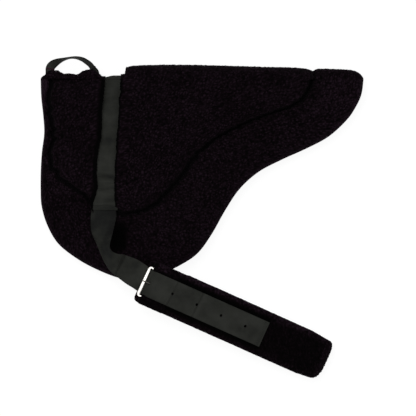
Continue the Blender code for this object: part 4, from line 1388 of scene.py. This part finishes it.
def makeOffStraps():
    # the off strap goes down from the sewn webbing, and folds on a diagonal to lie along the skirt
    middle = spot(offStrap["fold"])[:2]
    ahead = np.array([math.cos(offStrap["turn"]), math.sin(offStrap["turn"])])
    slope = (ahead[1] - 1) / ahead[0]
    corners = [middle + sign * np.array([halfWeb, halfWeb * slope]) for sign in (-1, 1)]
    top = channelLine[-1, 1] - clear
    step = web["thick"] + clear
    rootLevel = pad["middleZ"] - web["endHeight"] - step
    runLevel = rootLevel - step
    edges = [np.linspace((corner[0], top, rootLevel), (*corner, rootLevel), 40) for corner in corners]
    finish(ribbon("offBilletRoot", *edges), webbing, "off_side", ["off_billet"])
    end = middle + (offStrap["length"] - (top - middle[1])) * ahead
    sideways = np.array([-ahead[1], ahead[0]]) * halfWeb
    edges = [
        np.linspace((*(corner + clear * ahead), runLevel), (*(end + sign * sideways), runLevel), 120)
        for corner, sign in zip(corners, (1, -1))
    ]
    obj = ribbon("offBilletRun", *edges)
    last = end - ahead * (girth["pastRoller"] - billet["holePitch"] * offStrap["holes"] + wire["depth"])
    for k in range(offStrap["holes"]):
        place = last - k * billet["holePitch"] * ahead
        cutOut(obj, Matrix.Translation((*place, runLevel)), cutDepth, billet["holeRadius"])
    finish(obj, webbing, "off_strap_end", ["off_billet_run"])
    # the fold itself: a half turn of the webbing from one level to the other
    angle = np.linspace(math.pi / 2, -math.pi / 2, 11)[:, None]
    out = np.array([slope, -1]) / math.hypot(slope, 1)
    centre = (rootLevel + runLevel) / 2
    arcs = [
        np.column_stack([corner + out * step / 2 * np.cos(angle), centre + step / 2 * np.sin(angle)])
        for corner in corners
    ]
    obj = ribbon("offStrapFold", *arcs)
    finish(obj, webbing, None)
    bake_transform(obj)


makeOffStraps()
print("off strap made")

# floor, light and background
floorMaterial, tree, shader, _ = newMaterial("whitePaperSweep")
setInputs(tree, shader, {"Base Color": toLinear("#f7f7f7"), "Roughness": 0.9})
rays = [addNode(tree, "ShaderNodeLightPath", {}, f"Is {kind} Ray") for kind in ("Camera", "Glossy")]
seen = addNode(tree, "ShaderNodeMath", dict(enumerate(rays)), operation="MAXIMUM")
share = addNode(tree, "ShaderNodeMath", {0: seen, 1: 0.85}, operation="MULTIPLY")
white = addNode(tree, "ShaderNodeEmission", {"Strength": 1.06})
mixed = addNode(tree, "ShaderNodeMixShader", {0: share, 1: shader.outputs[0], 2: white})
setInputs(tree, tree.nodes["Material Output"], {"Surface": mixed})
bpy.ops.mesh.primitive_plane_add(size=8, location=(0, 0, -0.001))
floor = bpy.context.object
floor.name = "paperSweep"
floor.data.materials.append(floorMaterial)

world = bpy.data.worlds.new("studio")
world.use_nodes = True
tree = world.node_tree
# the metal sees a brighter room than the one that lights the cloth
glossy = addNode(tree, "ShaderNodeLightPath", {}, "Is Glossy Ray")
room = addNode(tree, "ShaderNodeMath", {0: glossy, 1: 0.75, 2: 0.45}, operation="MULTIPLY_ADD")
setInputs(tree, tree.nodes["Background"], {"Color": (1, 1, 1, 1), "Strength": room})
bpy.context.scene.world = world
for name, place, size, power in (
    ("softboxLeft", (-0.65, 0.75, 2.45), 1.3, 31),
    ("softboxRight", (1.5, -0.6, 2.4), 1.4, 12),
):
    lamp = bpy.data.lights.new(name, "AREA")
    lamp.size = size
    lamp.energy = power
    obj = addObject(name, lamp)
    obj.location = place
    obj.rotation_euler = (-obj.location).to_track_quat("-Z", "Y").to_euler()
bpy.context.scene.view_settings.view_transform = "Standard"
print("stage made")
